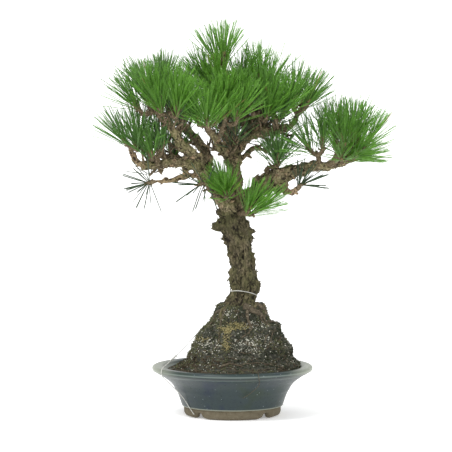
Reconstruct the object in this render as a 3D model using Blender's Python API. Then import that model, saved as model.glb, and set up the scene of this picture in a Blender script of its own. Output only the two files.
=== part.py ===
"""Japanese black pine bonsai: a round glazed pot, its root ball, a tie wire, the trunk, the boughs and the foliage.

Sizes are in metres and +Z is up. While the tree is built, the pot's axis is X = Y = 0 and the table is Z = 0.
-Y is the front. The last step moves everything, so that the middle of the bounding box's base is the origin.
"""

import math
import random

import bmesh
import bpy
import numpy as np
from mathutils import Matrix, Vector
from mathutils.bvhtree import BVHTree

# How much fatter a limb is made when it cuts its neighbour, so that the gap also holds on the flats.
CUT_CLEARANCE = 0.0004
UP = Vector((0.0, 0.0, 1.0))

# Pot: a turned body with a wide lip, on a ring foot that is cut into four by arches.
POT_SIDES = 28
RIM_RADIUS = 0.150
RIM_TOP = 0.0933
LIP_THICKNESS = 0.0106
FOOT_RADIUS = 0.0845
FOOT_INNER_RADIUS = 0.076
FOOT_RECESS = 0.0105
DRAIN_RADIUS = 0.012
FLOOR_TOP = 0.0195
FOOT_COUNT = 4
ARCH_RADIUS = 0.0098
ARCH_CENTRE_HEIGHT = -0.0012
ARCH_REACH = (0.062, 0.104)
ARCH_SIDES = 12
# Outer wall from the foot to the lip, then the inner wall from the lip to the floor, as radius and height.
FOOT_WALL = [(0.0880, 0.0026), (0.0902, 0.0075), (0.0905, 0.0174)]
OUTER_WALL = [(0.0945, 0.0188), (0.0966, 0.0264), (0.1022, 0.0414), (0.1065, 0.0490), (0.1107, 0.0565),
              (0.1172, 0.0640), (0.1300, 0.0735), (0.1440, 0.0822)]
INNER_WALL = [(0.1300, 0.0922), (0.1265, 0.0880), (0.1180, 0.0800), (0.1050, 0.0690), (0.0950, 0.0500),
              (0.0850, 0.0260), (0.0780, FLOOR_TOP)]
LIP_STEPS = 4
# The lip's rounded edge turns from its underside over the outside to the flat top.
LIP_START = math.radians(-55.0)
LIP_SWEEP = math.radians(150.0)

# Root ball: it fills the pot and rises above the rim to a flat top that carries the trunk.
# Each ring of the mound is height, middle in X, half width, and half depth as a share of the half width.
MOUND_RINGS = [(0.0850, 0.000, 0.1215, 1.00), (0.0910, 0.010, 0.1150, 0.98), (0.0978, 0.016, 0.1075, 0.96),
               (0.1053, 0.015, 0.0985, 0.94), (0.1130, 0.014, 0.0960, 0.92), (0.1280, 0.017, 0.0915, 0.90),
               (0.1430, 0.017, 0.0825, 0.90), (0.1580, 0.017, 0.0740, 0.92), (0.1670, 0.020, 0.0690, 0.94),
               (0.1749, 0.015, 0.0545, 0.97)]
MOUND_LUMP = 0.030
SOIL_WALL_TOP = 0.0810
# Each way, so that the gap on a slope is about the clearance.
SOIL_INSET = 0.0004

# Trunk: middle in X and Y, height and radius at each station, from the flat cut to the fork.
TRUNK_STATIONS = [(0.014, 0.000, 0.1752, 0.0450), (0.015, 0.000, 0.1880, 0.0420), (0.016, 0.000, 0.1990, 0.0395),
                  (0.017, 0.000, 0.2080, 0.0330), (0.018, 0.000, 0.2170, 0.0252), (0.021, 0.000, 0.2300, 0.0245),
                  (0.023, 0.000, 0.2430, 0.0275), (0.021, 0.000, 0.2620, 0.0238), (0.021, 0.002, 0.2800, 0.0212),
                  (0.018, 0.003, 0.2950, 0.0225), (0.014, 0.004, 0.3150, 0.0252), (0.010, 0.004, 0.3360, 0.0270),
                  (0.004, 0.002, 0.3520, 0.0258), (0.001, 0.002, 0.3690, 0.0222), (0.000, 0.003, 0.3830, 0.0218),
                  (0.003, 0.006, 0.3980, 0.0165), (0.006, 0.011, 0.4240, 0.0138), (0.003, 0.012, 0.4550, 0.0136),
                  (-0.003, 0.010, 0.4790, 0.0125)]
TRUNK_SIDES = 10
TRUNK_RINGS = 25
ROOT_FLARE_LOBE = 0.10
ROOT_FLARE_LOBES = 5
# Old pruning stubs on the trunk: start, end, radius at each end.
STUBS = [((-0.008, 0.002, 0.349), (-0.036, -0.004, 0.354), 0.0125, 0.0085),
         ((-0.002, -0.004, 0.372), (-0.029, -0.012, 0.381), 0.0085, 0.0060),
         ((0.012, 0.002, 0.336), (0.041, -0.006, 0.345), 0.0100, 0.0060)]
STUB_SIDES = 8
STUB_RINGS = 4

# Boughs: name, way from the start inside the parent to the tip, radius at the start and at the tip.
LIMBS = [
    ("left_bough", [(-0.003, -0.002, 0.383), (-0.018, -0.013, 0.405), (-0.035, -0.019, 0.431),
                    (-0.066, -0.022, 0.468)], 0.0150, 0.0140),
    ("big_right_bough", [(0.006, 0.004, 0.384), (0.029, 0.002, 0.402), (0.048, 0.000, 0.421),
                         (0.066, -0.002, 0.435), (0.083, -0.004, 0.443)], 0.0135, 0.0185),
    ("low_left_bough", [(-0.058, -0.022, 0.462), (-0.079, -0.024, 0.472), (-0.107, -0.029, 0.474),
                        (-0.138, -0.039, 0.470), (-0.168, -0.044, 0.469)], 0.0125, 0.0078),
    ("low_left_tip", [(-0.166, -0.044, 0.469), (-0.179, -0.046, 0.480), (-0.187, -0.049, 0.495)], 0.0062, 0.0044),
    ("mid_left_bough", [(-0.060, -0.022, 0.467), (-0.075, -0.034, 0.489), (-0.098, -0.052, 0.514),
                        (-0.117, -0.074, 0.554)], 0.0120, 0.0066),
    ("back_left_bough", [(-0.045, -0.016, 0.448), (-0.049, 0.014, 0.488), (-0.064, 0.038, 0.508),
                         (-0.095, 0.068, 0.540), (-0.125, 0.084, 0.574)], 0.0116, 0.0062),
    ("left_leader", [(-0.003, 0.008, 0.474), (-0.017, -0.014, 0.497), (-0.030, -0.034, 0.514),
                     (-0.041, -0.050, 0.531)], 0.0110, 0.0064),
    ("right_leader", [(0.002, 0.012, 0.470), (0.011, 0.021, 0.500), (0.027, 0.031, 0.532),
                      (0.044, 0.034, 0.558), (0.053, 0.034, 0.578)], 0.0126, 0.0062),
    ("apex_leader", [(0.000, 0.012, 0.484), (0.004, 0.010, 0.531), (0.001, 0.008, 0.576),
                     (-0.006, 0.006, 0.615), (-0.014, 0.005, 0.642)], 0.0086, 0.0044),
    ("upper_right_bough", [(0.015, 0.022, 0.510), (0.038, 0.012, 0.523), (0.065, -0.002, 0.529),
                           (0.105, -0.016, 0.538)], 0.0098, 0.0078),
    ("outer_right_bough", [(0.078, -0.004, 0.445), (0.107, -0.006, 0.455), (0.137, -0.009, 0.462),
                           (0.172, -0.010, 0.466), (0.209, -0.010, 0.473)], 0.0134, 0.0074),
    ("back_bough", [(-0.001, 0.010, 0.462), (-0.006, 0.050, 0.492), (-0.013, 0.092, 0.519),
                    (-0.016, 0.120, 0.542)], 0.0104, 0.0060),
    ("back_right_bough", [(0.012, 0.022, 0.500), (0.036, 0.056, 0.522), (0.058, 0.094, 0.542),
                          (0.068, 0.118, 0.560)], 0.0094, 0.0056),
    ("small_right_twig", [(0.012, 0.012, 0.474), (0.034, 0.024, 0.494), (0.050, 0.042, 0.496),
                          (0.063, 0.058, 0.491)], 0.0060, 0.0036),
    ("low_twig", [(-0.060, -0.020, 0.452), (-0.086, -0.024, 0.448), (-0.112, -0.037, 0.441),
                  (-0.146, -0.056, 0.440)], 0.0062, 0.0034),
    ("hook", [(0.088, -0.004, 0.440), (0.100, -0.014, 0.420), (0.112, -0.024, 0.419),
              (0.121, -0.032, 0.426)], 0.0066, 0.0040),
]
LIMB_SIDES = 6
RING_SPACING = 0.0195
KNUCKLE = 0.09
KNUCKLE_LENGTH = 0.034
WANDER = 0.16
LUMP = 0.07

# Foliage: name, limb, place along it, middle of the shoot tips, aim of the needles, number of shoots, spread.
MASSES = [
    ("low_left_outer", "low_left_tip", 1.00, (-0.182, -0.054, 0.514), (-0.36, -0.15, 0.92), 3, 0.016),
    ("low_left_inner", "low_left_bough", 0.72, (-0.141, -0.052, 0.496), (-0.12, -0.25, 1.00), 2, 0.016),
    ("low_left_back", "low_left_bough", 0.52, (-0.124, 0.006, 0.494), (0.00, 0.55, 0.90), 2, 0.016),
    ("low_left_sparse", "low_twig", 1.00, (-0.160, -0.064, 0.436), (-0.80, -0.30, -0.25), 1, 0.000),
    ("left_bough_sparse", "left_bough", 0.35, (-0.060, -0.052, 0.434), (-0.85, -0.45, -0.10), 1, 0.000),
    ("left_front", "mid_left_bough", 1.00, (-0.114, -0.094, 0.578), (0.00, -0.35, 1.00), 3, 0.022),
    ("left_outer", "mid_left_bough", 0.88, (-0.160, -0.070, 0.590), (-0.38, -0.05, 0.95), 3, 0.020),
    ("left_upper", "back_left_bough", 1.00, (-0.141, 0.074, 0.606), (-0.15, 0.10, 1.00), 3, 0.018),
    ("left_rear", "back_left_bough", 0.78, (-0.099, 0.118, 0.574), (0.00, 0.60, 0.85), 3, 0.020),
    ("centre_left", "left_leader", 1.00, (-0.047, -0.082, 0.560), (-0.10, -0.35, 1.00), 3, 0.020),
    ("centre_front", "left_leader", 0.70, (-0.004, -0.062, 0.572), (0.08, -0.30, 1.00), 3, 0.018),
    ("apex", "apex_leader", 1.00, (-0.020, 0.002, 0.667), (-0.02, 0.00, 1.00), 3, 0.010),
    ("apex_left", "apex_leader", 0.80, (-0.048, 0.014, 0.622), (-0.30, 0.00, 0.95), 2, 0.012),
    ("apex_right", "apex_leader", 0.80, (0.018, 0.022, 0.622), (0.15, 0.10, 1.00), 2, 0.012),
    ("apex_front", "apex_leader", 0.55, (-0.018, -0.034, 0.604), (-0.10, -0.60, 0.85), 2, 0.016),
    ("apex_rear", "apex_leader", 0.55, (-0.006, 0.052, 0.602), (0.05, 0.65, 0.80), 2, 0.016),
    ("right_top", "right_leader", 1.00, (0.056, 0.034, 0.629), (0.06, 0.06, 1.00), 3, 0.014),
    ("right_front", "right_leader", 0.78, (0.052, -0.026, 0.578), (0.05, -0.45, 0.95), 3, 0.020),
    ("upper_right_inner", "upper_right_bough", 0.70, (0.086, -0.026, 0.576), (0.10, -0.25, 1.00), 2, 0.014),
    ("upper_right_outer", "upper_right_bough", 1.00, (0.128, -0.020, 0.588), (0.36, -0.05, 0.95), 3, 0.018),
    ("right_inner", "big_right_bough", 0.76, (0.083, -0.010, 0.482), (0.00, -0.20, 1.00), 2, 0.010),
    ("small_right", "small_right_twig", 1.00, (0.073, 0.068, 0.500), (0.25, 0.55, 0.80), 1, 0.000),
    ("outer_right_left", "outer_right_bough", 0.66, (0.155, -0.024, 0.503), (-0.30, -0.20, 1.00), 2, 0.014),
    ("outer_right_centre", "outer_right_bough", 0.82, (0.205, -0.012, 0.526), (-0.02, 0.05, 1.00), 3, 0.020),
    ("outer_right_top", "outer_right_bough", 0.91, (0.234, -0.012, 0.518), (0.24, 0.00, 0.95), 3, 0.019),
    ("outer_right_low", "outer_right_bough", 1.00, (0.217, -0.022, 0.482), (0.85, -0.30, 0.38), 2, 0.012),
    ("outer_right_front", "outer_right_bough", 0.74, (0.212, -0.060, 0.495), (0.15, -0.85, 0.50), 3, 0.018),
    ("outer_right_rear", "outer_right_bough", 0.78, (0.210, 0.042, 0.502), (0.05, 0.80, 0.60), 3, 0.018),
    ("hook_sparse", "hook", 1.00, (0.126, -0.038, 0.432), (0.90, -0.25, 0.35), 1, 0.000),
    ("burl_right", "trunk", 0.66, (0.036, -0.036, 0.386), (0.62, -0.45, 0.75), 2, 0.010),
    ("burl_front", "trunk", 0.76, (-0.014, -0.040, 0.420), (-0.25, -0.45, 1.00), 2, 0.010),
    ("rear_centre", "back_bough", 1.00, (-0.019, 0.138, 0.566), (-0.05, 0.45, 0.90), 3, 0.020),
    ("rear_low", "back_bough", 0.62, (0.012, 0.122, 0.516), (0.10, 0.85, 0.45), 2, 0.014),
    ("rear_right", "back_right_bough", 1.00, (0.079, 0.134, 0.582), (0.30, 0.45, 0.85), 3, 0.020),
]
STEM_RADIUS = 0.0040
SHOOT_RADIUS = 0.0033
BUD_RADIUS = 0.0027
STEM_SIDES = 4
SHOOT_SIDES = 4
# Share of the way from the limb to the tips at which a stem divides into its shoots.
HUB = 0.55
CANDLE = 0.026
# How far the shoots of a mass turn apart from its aim.
SPLAY = 0.32
NEEDLE_LENGTH = 0.082
NEEDLE_RADIUS = 0.00080
# How far a needle's root lies from the middle of its shoot, as a share of the shoot's radius.
ROOT_OUT = 0.35
NEEDLES_PER_SHOOT = 7
SPARSE_NEEDLES = 8
NARROWEST_ANGLE = math.radians(10.0)
WIDEST_ANGLE = math.radians(47.0)
GOLDEN_ANGLE = math.pi * (3.0 - math.sqrt(5.0))
NEEDLE_CLEARANCE = 0.0009
TWIG_CLEARANCE = 0.0012
# Needles in one mass are only tested beyond this share of their length, as their roots meet in the shoot.
SHARED_ROOT = 0.05

# Tie wire: once round the trunk's foot, then down over the mound, the rim and the pot's wall.
WIRE_RADIUS = 0.0007
WIRE_SIDES = 4
WIRE_LOOP_CENTRE = (0.021, 0.000)
WIRE_LOOP_RADIUS = 0.0256
WIRE_LOOP_HEIGHT = 0.2262
WIRE_LOOP_TILT = 0.0085
WIRE_LOOP_LOW_SIDE = math.radians(62.0)
WIRE_LOOP_STEPS = 20
WIRE_LOOP_START = math.radians(150.0)
WIRE_LOOP_SWEEP = math.radians(335.0)
WIRE_TAIL = [(-0.008, 0.030, 0.205), (-0.028, 0.038, 0.180), (-0.048, 0.022, 0.164), (-0.063, 0.000, 0.155),
             (-0.078, -0.020, 0.141), (-0.091, -0.034, 0.128), (-0.105, -0.048, 0.115), (-0.121, -0.063, 0.102),
             (-0.130, -0.074, 0.095), (-0.131, -0.078, 0.083), (-0.120, -0.071, 0.071), (-0.106, -0.062, 0.056),
             (-0.093, -0.055, 0.041), (-0.084, -0.052, 0.027), (-0.077, -0.054, 0.016), (-0.071, -0.058, 0.008)]
WIRE_STEP = 0.0106
WIRE_REACH = 0.004
WIRE_GAP = 0.0021

# Colour, roughness and metallic value of each material.
FINISHES = {
    "glazed_stoneware": ((0.075, 0.092, 0.094), 0.25, 0.0),
    "soil": ((0.085, 0.082, 0.055), 0.95, 0.0),
    "bark": ((0.120, 0.104, 0.060), 0.90, 0.0),
    "needles": ((0.080, 0.190, 0.035), 0.55, 0.0),
    "wire": ((0.700, 0.710, 0.720), 0.35, 1.0),
}


def clear_scene():
    for obj in list(bpy.data.objects):
        bpy.data.objects.remove(obj)


def make_material(name):
    colour, roughness, metallic = FINISHES[name]
    material = bpy.data.materials.new(name)
    material.use_nodes = True
    shader = material.node_tree.nodes["Principled BSDF"]
    shader.inputs["Base Color"].default_value = (*colour, 1.0)
    shader.inputs["Roughness"].default_value = roughness
    shader.inputs["Metallic"].default_value = metallic
    material.diffuse_color = (*colour, 1.0)
    return material


def add_object(name, mesh, material=None):
    obj = bpy.data.objects.new(name, mesh)
    bpy.context.scene.collection.objects.link(obj)
    if material is not None:
        mesh.materials.clear()
        mesh.materials.append(material)
    return obj


def mesh_from(name, points, faces):
    """A mesh with its faces turned outwards."""
    bm = bmesh.new()
    verts = [bm.verts.new(point) for point in points]
    for face in faces:
        bm.faces.new([verts[i] for i in face])
    bmesh.ops.recalc_face_normals(bm, faces=bm.faces)
    mesh = bpy.data.meshes.new(name)
    bm.to_mesh(mesh)
    bm.free()
    return mesh


def shade_round(mesh, angle=math.radians(40.0)):
    mesh.shade_smooth()
    mesh.set_sharp_from_angle(angle=angle)


def ring_faces(rings, sides):
    """Pairs of triangles between neighbouring rings of points, so that a fatter copy has the same folds."""
    faces = []
    for ring in range(rings - 1):
        for side in range(sides):
            after = (side + 1) % sides
            low = ring * sides
            high = low + sides
            faces.append((low + side, low + after, high + after))
            faces.append((low + side, high + after, high + side))
    return faces


def smooth_line(points, count):
    """Points at even steps along a Catmull-Rom curve through the given ones; each point may carry a radius."""
    knots = np.array(points, dtype=float)
    padded = np.vstack([2 * knots[0] - knots[1], knots, 2 * knots[-1] - knots[-2]])
    fine = []
    steps = 16
    for i in range(len(knots) - 1):
        a, b, c, d = padded[i:i + 4]
        for step in range(steps):
            t = step / steps
            fine.append(0.5 * (2 * b + (c - a) * t + (2 * a - 5 * b + 4 * c - d) * t ** 2
                               + (3 * b - a - 3 * c + d) * t ** 3))
    fine.append(knots[-1])
    fine = np.array(fine)
    travelled = np.concatenate([[0.0], np.cumsum(np.linalg.norm(np.diff(fine[:, :3], axis=0), axis=1))])
    wanted = np.linspace(0.0, travelled[-1], count)
    return np.column_stack([np.interp(wanted, travelled, fine[:, axis]) for axis in range(fine.shape[1])])


def line_length(points):
    return float(np.linalg.norm(np.diff(points[:, :3], axis=0), axis=1).sum())


def frames_along(path, level_start):
    """Tangent and two cross directions at each point, turning as little as the path allows."""
    tangents = np.gradient(path, axis=0)
    tangents /= np.linalg.norm(tangents, axis=1)[:, None]
    if level_start:
        tangents[0] = UP
    side = Vector((1.0, 0.0, 0.0))
    if abs(side.dot(Vector(tangents[0]))) > 0.9:
        side = Vector((0.0, 1.0, 0.0))
    frames = []
    for tangent in tangents:
        tangent = Vector(tangent)
        side = (side - tangent * side.dot(tangent)).normalized()
        frames.append((tangent, side, tangent.cross(side)))
    return frames


def tube_mesh(name, path, radii, sides, lump=None, level_start=False, dome=0.35, grow=0.0):
    """A closed tube; lump gives a factor on the radius for each ring and angle."""
    points = []
    frames = frames_along(path, level_start)
    for ring, (centre, radius, (_, across, up)) in enumerate(zip(path, radii, frames)):
        for side in range(sides):
            angle = 2 * math.pi * side / sides
            factor = lump(ring, angle) if lump else 1.0
            reach = radius * factor + grow
            points.append(Vector(centre) + (across * math.cos(angle) + up * math.sin(angle)) * reach)
    count = len(path)
    faces = ring_faces(count, sides)
    start_out = 0.0 if level_start else dome * radii[0] + grow
    points.append(Vector(path[0]) - frames[0][0] * start_out)
    points.append(Vector(path[-1]) + frames[-1][0] * (dome * radii[-1] + grow))
    first, last = len(points) - 2, len(points) - 1
    top = (count - 1) * sides
    for side in range(sides):
        after = (side + 1) % sides
        faces.append((first, after, side))
        faces.append((last, top + side, top + after))
    return mesh_from(name, points, faces)


def waves(rng, count):
    """A smooth seeded wave of the distance along a limb, between about -1 and 1."""
    terms = [(rng.uniform(0.7, 1.5) * (1 + i), rng.uniform(0, 2 * math.pi), 1.0 / (1 + i)) for i in range(count)]
    total = sum(term[2] for term in terms)
    return lambda s: sum(size * math.sin(rate * s + phase) for rate, phase, size in terms) / total


def limb_line(name, way, start_radius, tip_radius):
    """Centreline and radius of a limb: a smooth way, a small seeded wander and knuckles where shoots once grew."""
    rng = random.Random(name)
    rough = smooth_line(way, 40)
    length = line_length(rough)
    count = max(5, round(length / RING_SPACING) + 1)
    path = smooth_line(way, count)
    frames = frames_along(path, False)
    swing, lift, knuckle = waves(rng, 2), waves(rng, 2), waves(rng, 2)
    radii = []
    for ring in range(count):
        share = ring / (count - 1)
        along = share * length / KNUCKLE_LENGTH * 2 * math.pi
        radius = start_radius + (tip_radius - start_radius) * share ** 0.85
        radii.append(radius * (1 + KNUCKLE * knuckle(along)))
        held = math.sin(math.pi * share)
        path[ring] += np.array(frames[ring][1]) * swing(along * 0.7) * WANDER * radius * held
        path[ring] += np.array(frames[ring][2]) * lift(along * 0.7) * WANDER * radius * held
    return path, np.array(radii)


def limb_lump(name):
    rng = random.Random(name + " bark")
    phases = [rng.uniform(0, 2 * math.pi) for _ in range(4)]
    return lambda ring, angle: (1 + LUMP * 0.6 * math.sin(2 * angle + phases[0] + 0.8 * ring)
                                + LUMP * 0.4 * math.sin(3 * angle + phases[1] - 1.1 * ring))


def trunk_line():
    stations = smooth_line(TRUNK_STATIONS, TRUNK_RINGS)
    return stations[:, :3], stations[:, 3]


def trunk_lump(ring, angle):
    """Root lobes at the foot that fade upwards, and the furrowed bark's lumps above them."""
    fade = max(0.0, 1 - ring / 6)
    lobes = ROOT_FLARE_LOBE * fade * math.sin(ROOT_FLARE_LOBES * angle + 0.6)
    bark = LUMP * 0.7 * (1 - fade) * math.sin(3 * angle + 0.9 * ring + 1.5 * math.sin(0.7 * ring))
    return 1 + lobes + bark


def boolean(obj, others, operation):
    """Applies one Boolean of obj with the objects of a collection, and removes the collection and its objects."""
    group = bpy.data.collections.new("operands")
    bpy.context.scene.collection.children.link(group)
    for other in others:
        bpy.context.scene.collection.objects.unlink(other)
        group.objects.link(other)
    modifier = obj.modifiers.new("boolean", "BOOLEAN")
    modifier.operation = operation
    modifier.solver = "EXACT"
    modifier.operand_type = "COLLECTION"
    modifier.collection = group
    depsgraph = bpy.context.evaluated_depsgraph_get()
    mesh = bpy.data.meshes.new_from_object(obj.evaluated_get(depsgraph), depsgraph=depsgraph)
    obj.modifiers.clear()
    old = obj.data
    obj.data = mesh
    bpy.data.meshes.remove(old)
    for other in others:
        bpy.data.meshes.remove(other.data)
    bpy.data.collections.remove(group)


def keep_largest_body(mesh):
    """Drops the loose scraps that a cut leaves."""
    bm = bmesh.new()
    bm.from_mesh(mesh)
    left = set(bm.verts)
    bodies = []
    while left:
        body = {left.pop()}
        edge = list(body)
        while edge:
            vert = edge.pop()
            for link in vert.link_edges:
                other = link.other_vert(vert)
                if other in left:
                    left.remove(other)
                    body.add(other)
                    edge.append(other)
        bodies.append(body)
    bodies.sort(key=len)
    for body in bodies[:-1]:
        bmesh.ops.delete(bm, geom=list(body), context="VERTS")
    bm.to_mesh(mesh)
    bm.free()


def boxes_meet(a, b, margin=0.001):
    low_a, high_a = np.min(a.bound_box, axis=0), np.max(a.bound_box, axis=0)
    low_b, high_b = np.min(b.bound_box, axis=0), np.max(b.bound_box, axis=0)
    return bool(np.all(low_a <= high_b + margin) and np.all(low_b <= high_a + margin))


def lip_profile():
    """The rounded lip, from the last point of the outer wall to the first of the inner wall."""
    middle = (RIM_RADIUS - LIP_THICKNESS / 2, RIM_TOP - LIP_THICKNESS / 2)
    half = LIP_THICKNESS / 2
    turns = [LIP_START + LIP_SWEEP * step / LIP_STEPS for step in range(LIP_STEPS + 1)]
    return [(middle[0] + half * math.cos(turn), middle[1] + half * math.sin(turn)) for turn in turns]


def turned_mesh(name, profile, sides):
    """A closed outline of radius and height turned about Z, with a hole down its middle."""
    points = []
    for radius, height in profile:
        for side in range(sides):
            angle = 2 * math.pi * side / sides
            points.append((radius * math.cos(angle), radius * math.sin(angle), height))
    faces = ring_faces(len(profile), sides)
    last = (len(profile) - 1) * sides
    for side in range(sides):
        after = (side + 1) % sides
        faces.append((last + side, last + after, after, side))
    return mesh_from(name, points, faces)


def make_pot(material):
    profile = [(DRAIN_RADIUS, FOOT_RECESS), (FOOT_INNER_RADIUS, FOOT_RECESS), (FOOT_INNER_RADIUS + 0.002, 0.0),
               (FOOT_RADIUS, 0.0)]
    profile += FOOT_WALL + OUTER_WALL + lip_profile() + INNER_WALL + [(DRAIN_RADIUS, FLOOR_TOP)]
    pot = add_object("pot", turned_mesh("pot", profile, POT_SIDES), material)
    arches = []
    for foot in range(FOOT_COUNT):
        angle = 2 * math.pi * (foot + 0.5) / FOOT_COUNT
        outward = np.array([math.cos(angle), math.sin(angle), 0.0])
        way = np.array([outward * reach for reach in ARCH_REACH])
        way[:, 2] = ARCH_CENTRE_HEIGHT
        mesh = tube_mesh("arch", way, [ARCH_RADIUS, ARCH_RADIUS], ARCH_SIDES, dome=0.0)
        arches.append(add_object("arch", mesh))
    boolean(pot, arches, "DIFFERENCE")
    shade_round(pot.data)
    return pot


def make_soil(material):
    """The root ball: it follows the pot's inner wall with a small gap, then rises as the mound."""
    rings = []
    for radius, height in reversed(INNER_WALL):
        if height < SOIL_WALL_TOP:
            rings.append((height + SOIL_INSET, 0.0, radius - SOIL_INSET, 1.0))
    rings += MOUND_RINGS
    rng = random.Random("mound")
    lumps = [(rng.uniform(2, 5), rng.uniform(0, 2 * math.pi)) for _ in range(3)]
    points = []
    for height, middle, half_width, depth in rings:
        free = MOUND_RINGS[1][0] < height < MOUND_RINGS[-2][0]
        for side in range(POT_SIDES):
            angle = 2 * math.pi * side / POT_SIDES
            lump = sum(math.sin(round(count) * angle + phase + 70 * height) for count, phase in lumps) / 3
            reach = half_width * (1 + MOUND_LUMP * lump * free)
            points.append((middle + reach * math.cos(angle), depth * reach * math.sin(angle), height))
    faces = ring_faces(len(rings), POT_SIDES)
    faces.append(tuple(range(POT_SIDES)))
    last = (len(rings) - 1) * POT_SIDES
    faces.append(tuple(range(last, last + POT_SIDES)))
    soil = add_object("soil", mesh_from("soil", points, faces), material)
    shade_round(soil.data)
    return soil


def make_trunk(material, grow=0.0):
    path, radii = trunk_line()
    mesh = tube_mesh("trunk", path, radii, TRUNK_SIDES, lump=trunk_lump, level_start=True, grow=grow)
    trunk = add_object("trunk", mesh, material)
    stubs = []
    for start, end, first, last in STUBS:
        way = smooth_line([start, end], STUB_RINGS)
        thickness = np.linspace(first, last, STUB_RINGS)
        stubs.append(add_object("stub", tube_mesh("stub", way, thickness, STUB_SIDES, grow=grow)))
    boolean(trunk, stubs, "UNION")
    shade_round(trunk.data)
    return trunk


class Neighbours:
    """Straight stretches of limbs, twigs and needles, which a new twig or needle has to keep clear of."""

    def __init__(self):
        self.starts = np.empty((0, 3))
        self.ends = np.empty((0, 3))
        self.radii = np.empty(0)
        self.owners = np.empty(0, dtype=object)

    def add(self, path, radii, owner):
        path = np.asarray(path)
        radii = np.asarray(radii)
        self.starts = np.vstack([self.starts, path[:-1]])
        self.ends = np.vstack([self.ends, path[1:]])
        self.radii = np.concatenate([self.radii, np.maximum(radii[:-1], radii[1:])])
        self.owners = np.concatenate([self.owners, np.full(len(path) - 1, owner, dtype=object)])

    def gaps(self, start, end, skip=()):
        """Free space between the stretch from start to end and each stored stretch of another owner."""
        use = np.array([owner not in skip for owner in self.owners], dtype=bool)
        if not use.any():
            return np.array([1.0])
        return stretch_distances(start, end, self.starts[use], self.ends[use]) - self.radii[use]


def stretch_distances(start, end, starts, ends):
    """Distance from one straight stretch to each of many."""
    way = end - start
    ways = ends - starts
    apart = start - starts
    a = way @ way
    e = np.einsum("ij,ij->i", ways, ways)
    f = np.einsum("ij,ij->i", ways, apart)
    c = apart @ way
    b = ways @ way
    spread = np.maximum(a * e - b * b, 1e-18)
    s = np.clip((b * f - c * e) / spread, 0, 1)
    t = np.clip((b * s + f) / e, 0, 1)
    s = np.clip((b * t - c) / a, 0, 1)
    closest = (start + np.outer(s, way)) - (starts + ways * t[:, None])
    return np.linalg.norm(closest, axis=1)


def steer_clear(path, radius, neighbours, skip, held=1):
    """Moves the free points of a twig out of the limbs and twigs that it would touch."""
    for _ in range(8):
        moved = False
        for i in range(held, len(path)):
            point = path[i]
            use = np.array([owner not in skip for owner in neighbours.owners], dtype=bool)
            starts, ends = neighbours.starts[use], neighbours.ends[use]
            ways = ends - starts
            share = np.clip(np.einsum("ij,ij->i", point - starts, ways) / np.einsum("ij,ij->i", ways, ways), 0, 1)
            nearest = starts + ways * share[:, None]
            away = point - nearest
            distance = np.linalg.norm(away, axis=1)
            short = neighbours.radii[use] + radius + TWIG_CLEARANCE - distance
            worst = int(np.argmax(short))
            if short[worst] > 0:
                path[i] = point + away[worst] / max(distance[worst], 1e-6) * (short[worst] + 0.0004)
                moved = True
        if not moved:
            break
    return path


def along_limb(lines, limb, share):
    path, _ = lines[limb]
    place = share * (len(path) - 1)
    low = min(int(place), len(path) - 2)
    point = path[low] + (path[low + 1] - path[low]) * (place - low)
    tangent = path[low + 1] - path[low]
    return point, tangent / np.linalg.norm(tangent)


def unit(vector):
    return vector / np.linalg.norm(vector)


def grow_twigs(lines, neighbours, name, limb, share, centre, aim, shoots, spread):
    """The stem and shoots of one mass: paths with radii, the stem first."""
    rng = random.Random(name + " twigs")
    base, tangent = along_limb(lines, limb, share)
    centre = np.array(centre)
    aim = unit(np.array(aim))
    way = centre - base
    reach = np.linalg.norm(way)
    hub = base + way * HUB + (tangent if share == 1.0 else unit(way)) * reach * 0.05
    bend = base + way * HUB * 0.5 + np.array([0.0, 0.0, -0.06]) * reach + tangent * reach * 0.08 * (share == 1.0)
    stem = smooth_line([base, bend, hub], 4)
    stem = steer_clear(stem, STEM_RADIUS, neighbours, (limb, name), held=2)
    twigs = [(stem, np.linspace(STEM_RADIUS, SHOOT_RADIUS, len(stem)))]
    neighbours.add(stem, twigs[0][1], name)
    across = unit(np.cross(aim, [0.0, 1.0, 0.0]))
    other = np.cross(aim, across)
    turn = rng.uniform(0, 2 * math.pi)
    for shoot in range(shoots):
        angle = turn + 2 * math.pi * shoot / shoots
        offset = (across * math.cos(angle) + other * math.sin(angle)) * spread
        tip = centre + offset + aim * rng.uniform(-0.006, 0.006)
        heading = unit(aim + offset / max(spread, 1e-6) * (SPLAY if shoots > 1 else 0.0))
        start = stem[-1] - unit(stem[-1] - stem[-2]) * SHOOT_RADIUS
        knee = tip - heading * min(CANDLE, 0.6 * np.linalg.norm(tip - start))
        line = smooth_line([start, knee, tip], 3)
        line = steer_clear(line, SHOOT_RADIUS, neighbours, (name,), held=1)
        twigs.append((line, np.linspace(SHOOT_RADIUS, BUD_RADIUS, len(line))))
        neighbours.add(line, twigs[-1][1], name)
    return twigs


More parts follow.
